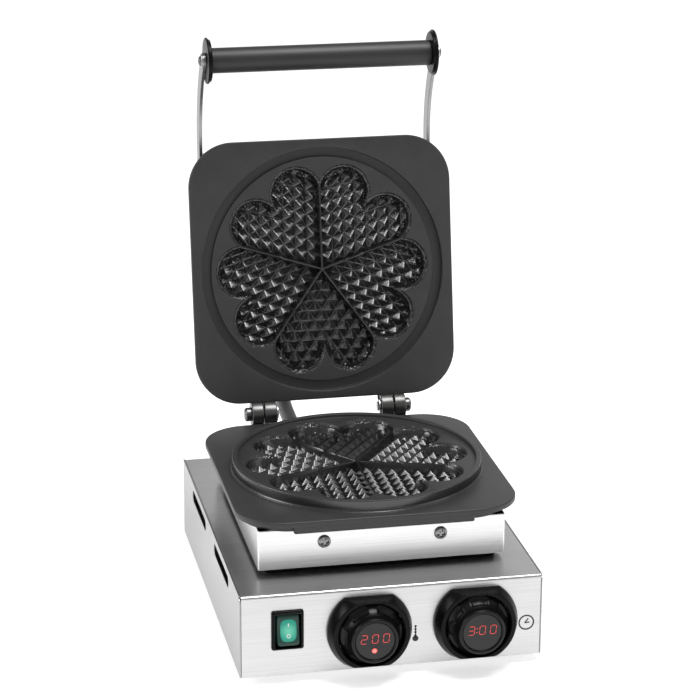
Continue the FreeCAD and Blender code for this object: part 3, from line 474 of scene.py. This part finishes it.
# the two castings: hearts of pyramids in a shallow ten-lobed rosette, then a ring or a groove
casting = {"lobeCentre": 71.5, "lobeRadius": 24.0, "lobeAngle": 18.5, "tier": 2.5, "tierInset": 2.4,
           "pocket": 10.5, "ridge": 1.6, "pitch": 11.0, "peak": 4.5, "draft": 4.5, "soft": 0.3,
           "columns": 560, "rows": 134, "faceY": -25.95, "landRise": 17.0, "lowerHalf": (117.8, 115.85),
           "lidHalf": (117.2, 115.85), "corner": 40.0, "baseLug": (59.5, 69.5), "lidLug": (47.5, 58.3),
           "lugRadius": 11.0, "lowerWall": 105.55, "lidWall": 99.8}


def softMax(one, other, ease):
    return 0.5 * (one + other + np.sqrt((one - other) ** 2 + ease * ease))


def softMin(one, other, ease):
    return 0.5 * (one + other - np.sqrt((one - other) ** 2 + ease * ease))


def waffleDepth(radius, angle):
    # how deep the cooking face lies at a place: the tier's wall falls by the draft for each step
    # inside the rosette's edge; below it, inside a heart, the wall falls again until it meets the
    # pyramids, whose height is peak * (1 - 2 * the larger offset from the cell's middle)
    fifth = math.radians(72)
    folded = (angle + fifth / 2) % fifth - fifth / 2
    x, y = radius * np.sin(folded), radius * np.cos(folded)
    lobe, centre = math.radians(casting["lobeAngle"]), casting["lobeCentre"]
    toLobe = np.hypot(np.abs(x) - centre * math.sin(lobe), y - centre * math.cos(lobe))
    between = np.abs(x) * math.sin(fifth / 2) + y * math.cos(fifth / 2)
    polygon = np.maximum(y - centre * math.cos(lobe), between - centre * math.cos(fifth / 2 - lobe))
    edge = np.minimum(toLobe - casting["lobeRadius"], polygon)
    half, soft = fifth / 2, casting["soft"]
    apex = casting["ridge"] / 2 / math.sin(half)
    wedge = (y - apex) * math.sin(half) - np.abs(x) * math.cos(half)
    inHeart = np.minimum(-np.minimum(toLobe - casting["lobeRadius"] + casting["tierInset"], polygon), wedge)
    together = (y - apex) / (casting["pitch"] * math.cos(half))
    apart = x / (casting["pitch"] * math.sin(half))
    a, b = (together + apart) / 2 % 1, (together - apart) / 2 % 1
    cell = softMax(np.abs(a - 0.5), np.abs(b - 0.5), 0.012)
    pyramid = -casting["pocket"] + casting["peak"] * softMin(1 - 2 * cell, 0.96 + 0 * cell, 0.03)
    tier = softMin(0 * edge, softMax(casting["draft"] * edge, 0 * edge - casting["tier"], soft), soft)
    heart = softMax(pyramid, -casting["tier"] - casting["draft"] * inHeart, soft)
    return softMin(tier, heart, soft), inHeart


def castFace(rim, lift=0.0):
    # rows of growing radius over the pattern, then the rim's own line of (radius, height)
    count = casting["columns"]
    angle = np.linspace(0, 2 * np.pi, count, endpoint=False)[None]
    radius = np.linspace(0, 98.0, casting["rows"])[:, None] + 0 * angle
    height = waffleDepth(radius, angle)[0] + lift
    line = turned(rim, "Z", count)
    fieldRows = np.stack((radius * np.sin(angle), radius * np.cos(angle), height), -1)
    rimRows = np.stack((line[..., 1], line[..., 0], line[..., 2]), -1)
    return np.concatenate((fieldRows, rimRows))


def outlineReach(halfU, halfV, corner, angle):
    # distance from the middle to a rounded rectangle along each angle: a side, or a corner's circle
    across, up = np.abs(np.cos(angle)), np.abs(np.sin(angle))
    toSide, toEnd = halfU / np.maximum(across, 1e-6), halfV / np.maximum(up, 1e-6)
    cu, cv = halfU - corner, halfV - corner
    along = across * cu + up * cv
    toCorner = along + np.sqrt(np.maximum(along ** 2 - cu * cu - cv * cv + corner * corner, 0))
    reach = np.where(toSide * up <= cv, toSide, toCorner)
    return np.where(toEnd * across <= cu, toEnd, reach)


def castFlange(rows, halfU, halfV, corner, count=420):
    # rows of (share, reach, height, ease): share 0 is a circle of that radius, share 1 the
    # outline drawn in by it; a row between two circles or two outlines follows its neighbours
    angle = np.linspace(0, 2 * np.pi, count, endpoint=False)[None]
    table = np.array(rows, float)
    flat = np.where(table[:, :1] > 0.5, 400 - table[:, 1:2], table[:, 1:2])
    line = softLine(np.concatenate((flat, table[:, 2:4]), 1), 5)
    reach, height = line[:, :1], line[:, 1:2]
    outline = outlineReach(halfU, halfV, corner, angle) - (400 - reach) / np.maximum(
        np.maximum(np.abs(np.cos(angle)), np.abs(np.sin(angle))), 0.75)
    radius = np.where(reach > 250, outline, reach + 0 * angle)
    return np.stack((radius * np.cos(angle), radius * np.sin(angle), height + 0 * radius), -1)


def barrel(start, end, radius, y, z, ease=0.8):
    line = softLine([(0, start, 0), (radius, start, ease), (radius, end, ease), (0, end, 0)], 5)
    return turned(line, "X", 72) + np.array((0, y, z))


def softBlock(x, y, z, ease=0.8, corner=0.8):
    # a block between two corners with eased edges
    levels = [(ease, z[0]), (ease * 0.3, z[0] + ease * 0.3), (0, z[0] + ease), (0, z[1] - ease),
              (ease * 0.3, z[1] - ease * 0.3), (ease, z[1])]
    points = stacked((x[1] - x[0]) / 2, (y[1] - y[0]) / 2, corner + ease, levels, 5)
    return capped(points + np.array(((x[0] + x[1]) / 2, (y[0] + y[1]) / 2, 0)))


def glossHeartsAndShadeWalls(piece, finish, place, wall, onLid=False):
    # the walls and pyramids inside the hearts keep the glossier, darker coat; the same dark coat is laid a little
    # past the hearts' edge on the tier walls, and on the outer wall, as painted shade
    mesh = piece.data
    mesh.materials.append(finishes[finish])
    middles = np.zeros(len(mesh.polygons) * 3)
    mesh.polygons.foreach_get("center", middles)
    spots = middles.reshape(-1, 3) / mm
    x, y, _ = ((inClosedLid(spots) if onLid else spots) - place).T
    radius, angle = np.hypot(x, y), np.arctan2(x, y)
    # true for the hearts' own coat, and for the painted shade on the step walls just past their edge and on the
    # wall beyond the wall radius
    inside = (waffleDepth(radius, angle)[1] > -2.0) & (radius < 98) | (radius > wall)
    mesh.polygons.foreach_set("material_index", inside.astype(np.int32))


def lugSpan(kind, side):
    # from left to right across a lug on one side
    return sorted(side * reach for reach in casting[kind])


def makeLowerCasting():
    x, y, land = 0.0, casting["faceY"], high("heater_housing")[2] + casting["landRise"]
    place = np.array((x, y, land))
    rim = softLine([(99.6, 0, 0), (101.0, 0, 0.5), (101.0, 3.0, 0.9), (105.7, 3.0, 0.9), (105.7, -5.6, 1.2),
                    (107.4, -7.05, 0.5), (104.5, -7.4, 0), (104.5, -16.9, 0), (0, -16.9, 0)], 5)
    face = castFace(rim) + place
    piece = makePiece("lower_cooking_face", [surface(face)], "casting", "base", ["lower_plate"],
                      40)
    glossHeartsAndShadeWalls(piece, "hearts", place, casting["lowerWall"])
    rows = [(0, 104.6, -7.0, 0), (1, 0, -7.0, 1.3), (1, 0, -12.0, 1.0), (1, 6, -12.0, 0.5),
            (1, 6, -17.0, 0.5), (0, 104.6, -17.0, 0)]
    body = [surface(castFlange(rows, *casting["lowerHalf"], casting["corner"]) + place, loop=True)]
    front = y - casting["lowerHalf"][1]
    body.append(surface(softBlock((-75, 75), (front + 0.2, front + 10.2), (land - 17.5, land - 9.0),
                                  1.0, 1.5)))
    for side in (-1, 1):
        inner, outer = lugSpan("baseLug", side)
        body.append(surface(softBlock((inner, outer), (hingeAxis[1] - 26, hingeAxis[1] - 1),
                                        (land - 16.7, land - 7.3))))
    makePiece("lower_casting", body, "casting", "base", (), 40)
    lugs = [surface(barrel(*lugSpan("baseLug", side), casting["lugRadius"], hingeAxis[1], hingeAxis[2]))
            for side in (-1, 1)]
    makePiece("lower_hinge_lugs", lugs, "machined", "base", (), 40)


def makeLidCasting():
    place = np.array((0, -125.75, -1.0))
    flip = np.array((1, 1, -1))
    rim = softLine([(98.6, -3, 0), (99.9, -3, 0.8), (99.9, -6.6, 0), (98.9, -7.0, 0), (98.9, -20, 0),
                    (0, -20, 0)], 5)
    face = castFace(rim, -3.0) * flip + place
    piece = makePiece("lid_cooking_face", [surface(inOpenLid(face))], "casting", "lid", ["upper_plate"],
                      40)
    glossHeartsAndShadeWalls(piece, "hearts", place, casting["lidWall"], onLid=True)
    rows = [(0, 99.0, -6.5, 0), (0, 108.4, -6.5, 0.8), (0, 108.4, 0, 0.9), (1, 0, 0, 1.3),
            (1, 0, -5.0, 1.0), (1, 6, -5.0, 0.5), (1, 6, -15.0, 0.5), (0, 99.0, -15.0, 0)]
    flange = castFlange(rows, *casting["lidHalf"], casting["corner"]) * flip + place
    body = [surface(inOpenLid(flange), loop=True)]
    for side in (-1, 1):
        inner, outer = lugSpan("lidLug", side)
        body.append(surface(inOpenLid(softBlock((inner, outer), (-27, -2), (-0.9, 10.9)))))
    makePiece("lid_casting", body, "casting", "lid", (), 40)
    lugs = [surface(inOpenLid(barrel(*lugSpan("lidLug", side), casting["lugRadius"], 0, 0)))
            for side in (-1, 1)]
    makePiece("lid_hinge_lugs", lugs, "machined", "lid", (), 40)


makeLowerCasting()
makeLidCasting()
print("castings made")

# ring knobs: collar on the panel, turning knob with finger hollows, dark window with red figures
knob = {"flat": 29.0, "flatDrop": 0.12, "hollowDepth": 1.5, "hollowHalf": 0.36, "hollows": 6}


def collarFlats(radius, reach, angle):
    # the radius stays under the flat's height over the sine, joined by a soft minimum
    limit = (knob["flat"] + knob["flatDrop"] * reach) / np.maximum(np.abs(np.sin(angle)), 0.2)
    ease = 0.22
    return -ease * np.log(np.exp(-radius / ease + 60) + np.exp(-limit / ease + 60)) + 60 * ease, reach


def fingerHollows(start):
    def change(radius, reach, angle):
        # six shallow scoops: depth * soft window along the cone * soft window round the axis
        share = 2 * np.pi / knob["hollows"]
        off = np.abs((angle - start + share / 2) % share - share / 2)
        around = np.clip((knob["hollowHalf"] - off) / 0.12, 0, 1)
        along = np.clip((-9.6 - reach) / 1.4, 0, 1) * np.clip((reach + 16.4) / 2.2, 0, 1)
        outer = (radius > 18.9) & (reach < -9.0)
        scoop = (around * around * (3 - 2 * around)) * (along * along * (3 - 2 * along))
        return radius - knob["hollowDepth"] * scoop * outer, reach
    return change


def makeKnob(name, start):
    x, _, z = middle(name + "_knob")
    place = np.array((x, panelY, z))
    collar = softLine([(27, -0.1, 0.05), (35, -0.1, 0.1), (35, -3.4, 1.2), (31.2, -13, 1.0),
                       (27.9, -13, 0.45), (27, -12.2, 0.45)])
    makePiece(name + "_ring", [surface(turned(collar, "Y", 240, collarFlats) + place, loop=True)],
              "blackSatin", "base", [name + "_collar"], 30)
    line = softLine([(16.3, 4.6, 0.2), (18, 4.6, 0.2), (18, -0.5, 0.1), (26.55, -0.5, 0.2),
                     (26.55, -9.0, 0.9), (25.2, -10.2, 0.8), (21.6, -13.6, 3.2), (19.75, -18.6, 1.2),
                     (19.3, -23.6, 0.8), (18.7, -24.9, 0.8), (17.0, -24.9, 0.5), (16.3, -24.2, 0.5)], 7)
    ring = turned(line, "Y", 180, fingerHollows(start)) + place
    makePiece(name + "_grip_ring", [surface(ring, loop=True)], "blackGloss", name + "_dial",
              [name + "_knob"], 32)
    glass = softLine([(15.8, -23.2, 0.05), (15.8, -24.35, 0.4)], 4)
    makePiece(name + "_window", [surface(capped(turned(glass)) + place)], "lensGrey", "base",
              [name + "_lens"], 30)


makeKnob("temperature", math.radians(60))
makeKnob("timer", math.radians(90))

# red figures: seven bars to a figure, leaning a little to the right
figure = {"height": 7.3, "width": 4.7, "stroke": 0.55, "lean": 0.1, "pitch": 9.0, "face": 24.33,
          "rise": 2.2}
barsLit = {"0": "abcdef", "2": "abged", "3": "abgcd"}


def figureBars(sign, shift):
    wide, tall, stroke = figure["width"] / 2, figure["height"] / 2, figure["stroke"] / 2
    runs = {"a": (-wide, tall, wide, tall), "b": (wide, tall, wide, 0), "c": (wide, 0, wide, -tall),
            "d": (-wide, -tall, wide, -tall), "e": (-wide, 0, -wide, -tall), "f": (-wide, tall, -wide, 0),
            "g": (-wide, 0, wide, 0)}
    shapes = []
    for key in barsLit[sign]:
        u0, v0, u1, v1 = runs[key]
        first, last = np.array((u0, v0)), np.array((u1, v1))
        ahead = (last - first) / np.linalg.norm(last - first)
        side = np.array((-ahead[1], ahead[0])) * stroke
        first, last = first + ahead * 0.3, last - ahead * 0.3
        outline = np.array((first, first + ahead * stroke + side, last - ahead * stroke + side, last,
                            last - ahead * stroke - side, first + ahead * stroke - side))
        outline[:, 0] += outline[:, 1] * figure["lean"] + shift
        shapes.append(outline)
    return shapes


def makeFigures(name, text, lamp=None):
    x, _, z = middle(name + "_knob")
    shapes, shift = [], -figure["pitch"] * (len(text.replace(":", "")) - 1) / 2
    for sign in text:
        if sign == ":":
            for v in (-1.7, 1.7):
                dot = np.linspace(0, 2 * np.pi, 12, endpoint=False)
                shapes.append(np.stack((0.5 * np.cos(dot) + shift - figure["pitch"] / 2 + v * 0.1,
                                        0.5 * np.sin(dot) + v), -1))
        else:
            shapes += figureBars(sign, shift)
            shift += figure["pitch"]
    face = figure["face"]
    solids = [surface(onPanel(prism(outline, face, face + 0.06), x, z + figure["rise"]))
              for outline in shapes]
    makePiece(name + "_figures", solids, "redFigures", "base", ())


def glowing(name, shade, glow, power, spread=None, place=None):
    # a lit plastic: even colour, brighter towards a place where a spread is given
    finish = Finish(name, Roughness=0.4, Emission_Strength=power)
    grain = finish.noise(900.0, 2.0)
    finish.feed("Base Color", finish.blend(grain, [level * 0.8 for level in shade], shade))
    if spread is None:
        finish.feed("Emission Color", finish.blend(grain, [level * 0.92 for level in glow], glow))
    else:
        away = finish.add("ShaderNodeVectorMath", {"operation": "DISTANCE"}, [finish.coords(), place],
                          output=1)
        near = finish.ramp(away * (1 / spread), (0.0, 1.0), (0.35, 0.75), (1.0, 0.0))
        finish.feed("Emission Color", finish.blend(near, shade, glow))
    return finish.material


finishes["redFigures"] = glowing("red figures", (0.4, 0.02, 0.02), (0.8, 0.10, 0.10), 0.75)
lampPlace = middle("temperature_knob") * (1, 0, 1) + (-0.6, panelY - figure["face"], -8.1)
finishes["redLamp"] = glowing("red lamp", (0.35, 0.01, 0.01), (1.0, 0.42, 0.36), 1.1, 0.0026,
                              tuple(lampPlace * mm))
makeFigures("temperature", "200")
makeFigures("timer", "3:00")


def makeLamp():
    # a small dome: height falls off with the square of the radius
    radius = np.array((2.3, 2.1, 1.7, 1.1, 0.5))
    line = np.stack((radius, -0.45 * (1 - (radius / 2.4) ** 2)), -1)
    makePiece("heating_lamp", [surface(capped(turned(line, "Y", 32)) + lampPlace)], "redLamp", "base",
              (), 60)


makeLamp()
print("knobs made")

# rocker switch: black frame in two steps, green rocker with a lit middle, white line and ring
switch = {"tilt": 8.0, "pivot": 5.0, "halfU": 8.9, "halfV": 12.6, "capU": 6.7, "capV": 9.3, "face": 9.4,
          "frameU": 13.2, "frameV": 17.0}

switchMiddle = middle("power_switch")[0], low("power_switch")[2] + switch["frameV"]


def makeSwitchFrame():
    x, z = switchMiddle
    outer = softLine([(0, 0.02, 0.02), (0, 1.4, 0.5), (0.7, 2.1, 0.4), (1.5, 2.1, 0.3), (1.7, 3.9, 0.4),
                      (2.3, 4.3, 0.3), (2.75, 3.9, 0.3), (2.85, -13.5, 0.05), (1.2, -13.5, 0.05),
                      (1.2, 0.02, 0.02)], 4)
    frameRing = stacked(switch["frameU"], switch["frameV"], 2.0, outer)
    case = stacked(12.0, 15.6, 1.0, [(0, -13.4), (0, -21.4), (0.4, -22)])
    shapes = [surface(onPanel(frameRing, x, z), loop=True), surface(onPanel(capped(case), x, z))]
    for u in (-6.0, 6.0):
        for v in (-8.85, 0.15, 9.15):
            tab = stacked(0.4, 3.15, 0.1, [(0, -22), (0, -29.8), (0.2, -30)], 3)
            shapes.append(surface(onPanel(capped(tab) + np.array((u, v, 0)), x, z)))
    makePiece("switch_frame", shapes, "blackSatin", "base", ["power_switch"], 35)


def onRocker(points):
    # the rocker's face leans about its pivot, upper half pressed in
    x, z = switchMiddle
    lean = math.radians(switch["tilt"])
    u, v, w = points[..., 0], points[..., 1], points[..., 2]
    along, out = v * math.cos(lean) + w * math.sin(lean), w * math.cos(lean) - v * math.sin(lean)
    return np.stack((u + x, panelY + switch["pivot"] - out, along + z), -1)


def rockerFace(u, v):
    # a shallow valley that rises to both ends, rounded off at the rim by the fourth power
    rim = (np.abs(u) / switch["halfU"]) ** 8 + (np.abs(v) / switch["halfV"]) ** 10
    return switch["face"] + 1.3 * (np.abs(v) / switch["halfV"]) ** 1.3 - 0.9 * np.clip(rim, 0, 1.4)


def makeRocker():
    halfU, halfV = switch["halfU"], switch["halfV"]
    u, v = np.meshgrid(np.linspace(-1, 1, 41), np.linspace(-1, 1, 57))
    shrink = 1 - 0.055 * (np.abs(u) ** 6) * (np.abs(v) ** 6)
    u, v = u * halfU * shrink, v * halfV * shrink
    top = np.stack((u, v, rockerFace(u, v)), -1)
    ringIndex = np.concatenate([top[0, :-1], top[:-1, -1], top[-1, :0:-1], top[:0:-1, 0]])
    skirt = np.stack([ringIndex, ringIndex * (1, 1, 0) + (0, 0, -2.0)])
    floor = top * (1, 1, 0) + (0, 0, -2.0)
    makePiece("rocker_cap", [surface(onRocker(top), ring=False), surface(onRocker(skirt)),
                             surface(onRocker(floor), ring=False)],
              "rockerGreen", "rocker", ["power_rocker"], 40)
    angle = np.linspace(0, 2 * np.pi, 64, endpoint=False)[None]
    share = np.array((1.0, 0.99, 0.95, 0.88, 0.75, 0.5, 0.25))[:, None]
    rise = np.array((-0.3, 0.18, 0.34, 0.42, 0.48, 0.5, 0.5))[:, None]
    squareU = np.sign(np.cos(angle)) * np.abs(np.cos(angle)) ** 0.62
    squareV = np.sign(np.sin(angle)) * np.abs(np.sin(angle)) ** 0.62
    u, v = switch["capU"] * share * squareU, switch["capV"] * share * squareV
    cap = np.stack((u, v, rockerFace(u, v) + rise), -1)
    makePiece("rocker_lit_middle", [surface(onRocker(capped(cap)))], "rockerLit", "rocker", ())
    side = np.linspace(3.1, 6.1, 9)
    line = np.concatenate((np.stack((0 * side + 0.42, side), -1),
                           np.stack((0 * side - 0.42, side[::-1]), -1)))
    ringLine = softLine([(1.7, 0, 0.1), (1.7, 0.1, 0.1), (1.1, 0.1, 0.1), (1.1, 0, 0.1)], 3)
    marks = [prism(line, 0, 0.1), turned(ringLine, "Z", 32) + np.array((0, -4.6, 0))]
    for mark in marks:
        mark[..., 2] += rockerFace(mark[..., 0], mark[..., 1]) + 0.47
    makePiece("rocker_marks", [surface(onRocker(marks[0])), surface(onRocker(marks[1]), loop=True)],
              "printWhite", "rocker", ())


rockerMiddle = onRocker(np.array((0.0, 0.0, 9.9)))
finishes["rockerGreen"] = glowing("green rocker", (0.0, 0.028, 0.02), (0.0, 0.07, 0.045), 0.2, 0.014,
                                  tuple(rockerMiddle * mm))
finishes["rockerLit"] = glowing("lit green", (0.0, 0.22, 0.15), (0.30, 0.82, 0.60), 0.5, 0.0075,
                                tuple((rockerMiddle + (0, 0, -1.0)) * mm))
makeSwitchFrame()
makeRocker()
print("switch made")

# printed signs beside the knobs
sign = {"thickness": 0.05, "clockRadius": 6.7, "clockLine": 1.25, "clockPlace": (43.2, -5.5),
        "heatShift": -49.6}


def disc(u, v, radius, count=32):
    angle = np.linspace(0, 2 * np.pi, count, endpoint=False)
    return np.stack((u + radius * np.cos(angle), v + radius * np.sin(angle)), -1)


def makeSigns():
    x, _, z = middle("timer_knob")
    clockX, clockZ = x + sign["clockPlace"][0], z + sign["clockPlace"][1]
    thick = sign["thickness"]
    radius, line = sign["clockRadius"], sign["clockLine"]
    rim = softLine([(radius, 0.005, 0), (radius, thick, 0), (radius - line, thick, 0),
                    (radius - line, 0.005, 0)], 2)
    clock = [surface(onPanel(turned(rim, "Z", 64), clockX, clockZ), loop=True)]
    for angle, reach in ((52, 4.6), (6, 4.0)):
        ahead = np.array((math.cos(math.radians(angle)), math.sin(math.radians(angle))))
        side = np.array((-ahead[1], ahead[0])) * 0.55
        hand = np.array((side, -side, ahead * reach - side, ahead * reach + side)) - (1.3, 0.3)
        clock.append(surface(onPanel(prism(hand, 0.005, thick), clockX, clockZ)))
    makePiece("clock_sign", clock, "printBlack", "base", ())
    x += sign["heatShift"]
    stem = np.array(((-0.42, -11), (0.42, -11), (0.42, -0.5), (-0.42, -0.5)))
    parts = [disc(0, -11.7, 2.5), stem] + [disc(0, v, 1.0, 20) for v in (-8.8, -6.1, -3.5, -0.9)]
    makePiece("heat_sign", [surface(onPanel(prism(part, 0.005, thick), x, z)) for part in parts],
              "printBlack", "base", ())


makeSigns()

# pan head screws with a cross recess
screw = {"cross": 1.25, "reach": 0.62, "depth": 2.2, "rows": 22, "columns": 72, "panX": 48.5,
         "panRise": 96.7, "coverTop": 55.0, "coverX": 70, "coverY": (-60, -195)}


def screwHead(radius, height):
    # a low dome, height (1 - 0.45 (r/R)^2.5) with a rolled rim, less a soft cross of two bars
    share = np.linspace(0, 1, screw["rows"])[:, None]
    angle = np.linspace(0, 2 * np.pi, screw["columns"], endpoint=False)[None]
    a, b = radius * share * np.cos(angle), radius * share * np.sin(angle)
    rise = height * (1 - 0.42 * share ** 2.4) * np.sqrt(np.clip(1.0 - share ** 14, 0.12, 1)) + 0 * angle
    wide, long = screw["cross"] * radius / 5.5, screw["reach"] * radius
    bars = [np.clip((wide - np.abs(p)) / 0.3 + 0.5, 0, 1) * np.clip((long - np.abs(q)) / 0.5, 0, 1)
            for p, q in ((a, b), (b, a))]
    rise = rise - screw["depth"] * np.maximum(*bars) * (1 - 0.45 * share)
    top = np.stack((a, b, rise), -1)
    base = np.stack((a[-1:], b[-1:], 0 * rise[-1:]), -1)
    return np.concatenate((top, base, base * (0.45, 0.45, 1), base * (0.45, 0.45, 1) - (0, 0, 4.0),
                           base * 0 - (0, 0, 4.0)))


def turnedHead(points, angle):
    c, s = math.cos(math.radians(angle)), math.sin(math.radians(angle))
    a, b, w = points[..., 0], points[..., 1], points[..., 2]
    return np.stack((a * c - b * s, a * s + b * c, w), -1)


def makeScrews():
    x, z = screw["panX"], screw["panRise"] + high("feet")[2]
    front, back = low("heater_housing")[1], high("heater_housing")[1]
    head = screwHead(5.5, 2.7)
    shapes = []
    for side, spin in ((-1, 12), (1, 4)):
        ahead = turnedHead(head, spin)
        for y in (front - ahead[..., 2], back + ahead[..., 2]):
            shapes.append(surface(np.stack((ahead[..., 0] + side * x, y, ahead[..., 1] + z), -1)))
    makePiece("pan_screws", shapes, "panScrew", "base", ["heater_housing_screws"], 30)
    head = screwHead(4.5, 2.4)
    shapes = []
    places = [(side * screw["coverX"], y) for side in (-1, 1) for y in screw["coverY"]]
    for spin, (u, v) in enumerate(places):
        ahead = turnedHead(head, 20 * spin) + np.array((u, v, screw["coverTop"]))
        shapes.append(surface(inOpenLid(ahead)))
    makePiece("lid_cover_screws", shapes, "bright", "lid", ["cover_screws"], 30)


makeScrews()
print("screws made")

# handle: grip on a rod between stepped guards, with a washer and a screw at each end
handle = {"y": -314.0, "z": -22.0, "grip": 11.0, "half": 95.5, "guard": 20.0, "guardWide": 4.0,
          "armOut": 104.2}


def acrossLid(line, count=72):
    # turned about the handle's axis, made in the closed lid
    return inOpenLid(turned(np.array(line), "X", count) + np.array((0, handle["y"], handle["z"])))


def makeHandle():
    half, grip, guard = handle["half"], handle["grip"], handle["guard"]
    tube = softLine([(4.2, -half - 1.5, 0), (grip, -half - 1.5, 0.8), (grip, half + 1.5, 0.8),
                     (4.2, half + 1.5, 0)], 6)
    makePiece("grip_tube", [surface(acrossLid(tube), loop=True)], "gripBlack", "lid", ["handle_grip"],
              35)
    for side, label in ((-1, "left"), (1, "right")):
        start, wide = half + 1.55, handle["guardWide"]
        line = softLine([(4.1, start, 0), (guard - 1.6, start, 0.9), (guard - 1.4, start + wide / 2, 0.25),
                         (guard, start + wide / 2 + 0.1, 0.5), (guard, start + wide, 0.9),
                         (4.1, start + wide, 0)], 6)
        line[:, 1] *= side
        makePiece("grip_guard_" + label, [surface(acrossLid(line, 96), loop=True)], "blackSatin", "lid",
                  ["handle_guard_" + label], 35)
    outside = handle["armOut"]
    washers, screws = [], []
    for side in (-1, 1):
        line = softLine([(3.2, outside + 0.02, 0), (6.0, outside + 0.02, 0.15), (6.0, outside + 1.0, 0.4),
                         (3.2, outside + 1.0, 0)], 4)
        line[:, 1] *= side
        washers.append(surface(acrossLid(line), loop=True))
        head = screwHead(4.3, 2.0)
        spot = np.stack((side * (head[..., 2] + outside + 1.0), head[..., 0] + handle["y"],
                         head[..., 1] + handle["z"]), -1)
        screws.append(surface(inOpenLid(spot)))
    makePiece("handle_end_washers", washers, "zinc", "lid", ["handle_washers"], 35)
    makePiece("handle_end_screws", screws, "darkSteel", "lid", ["handle_screws"], 30)


makeHandle()
print("handle made")

# grey hose from the base up into the lid: two eased turns between straight ends
hose = {"radius": 6.8, "rings": 72, "columns": 40}


def makeHose():
    first = np.array((*middle("lower_conduit_gland")[:2], high("lower_conduit_gland")[2]))
    joined = np.array(inOpenLid(np.array((middle("upper_conduit_gland")[0], -11.0, 29.0))))
    down = np.array((0, math.cos(openAngle), -math.sin(openAngle)))
    knots = np.array((first, first + (0, 0, 14.0), joined + down * 14.0, joined))
    t = np.linspace(0, 1, hose["rings"])[:, None]
    # cubic through the four control places, so both ends leave straight out of their glands
    weights = ((1 - t) ** 3, 3 * t * (1 - t) ** 2, 3 * t * t * (1 - t), t ** 3)
    spine = sum(weight * knot for weight, knot in zip(weights, knots))
    ahead = np.gradient(spine, axis=0)
    ahead /= np.linalg.norm(ahead, axis=1, keepdims=True)
    side = np.cross(ahead, (0, 1, 0.15))
    side /= np.linalg.norm(side, axis=1, keepdims=True)
    out = np.cross(side, ahead)
    angle = np.linspace(0, 2 * np.pi, hose["columns"], endpoint=False)[None, :, None]
    ring = side[:, None] * np.cos(angle) + out[:, None] * np.sin(angle)
    piece = makePiece("hose", [surface(capped(spine[:, None] + ring * hose["radius"]))], "hose", None,
                      ["flexible_conduit"], 50)
    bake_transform(piece)


makeHose()
print("hose made")
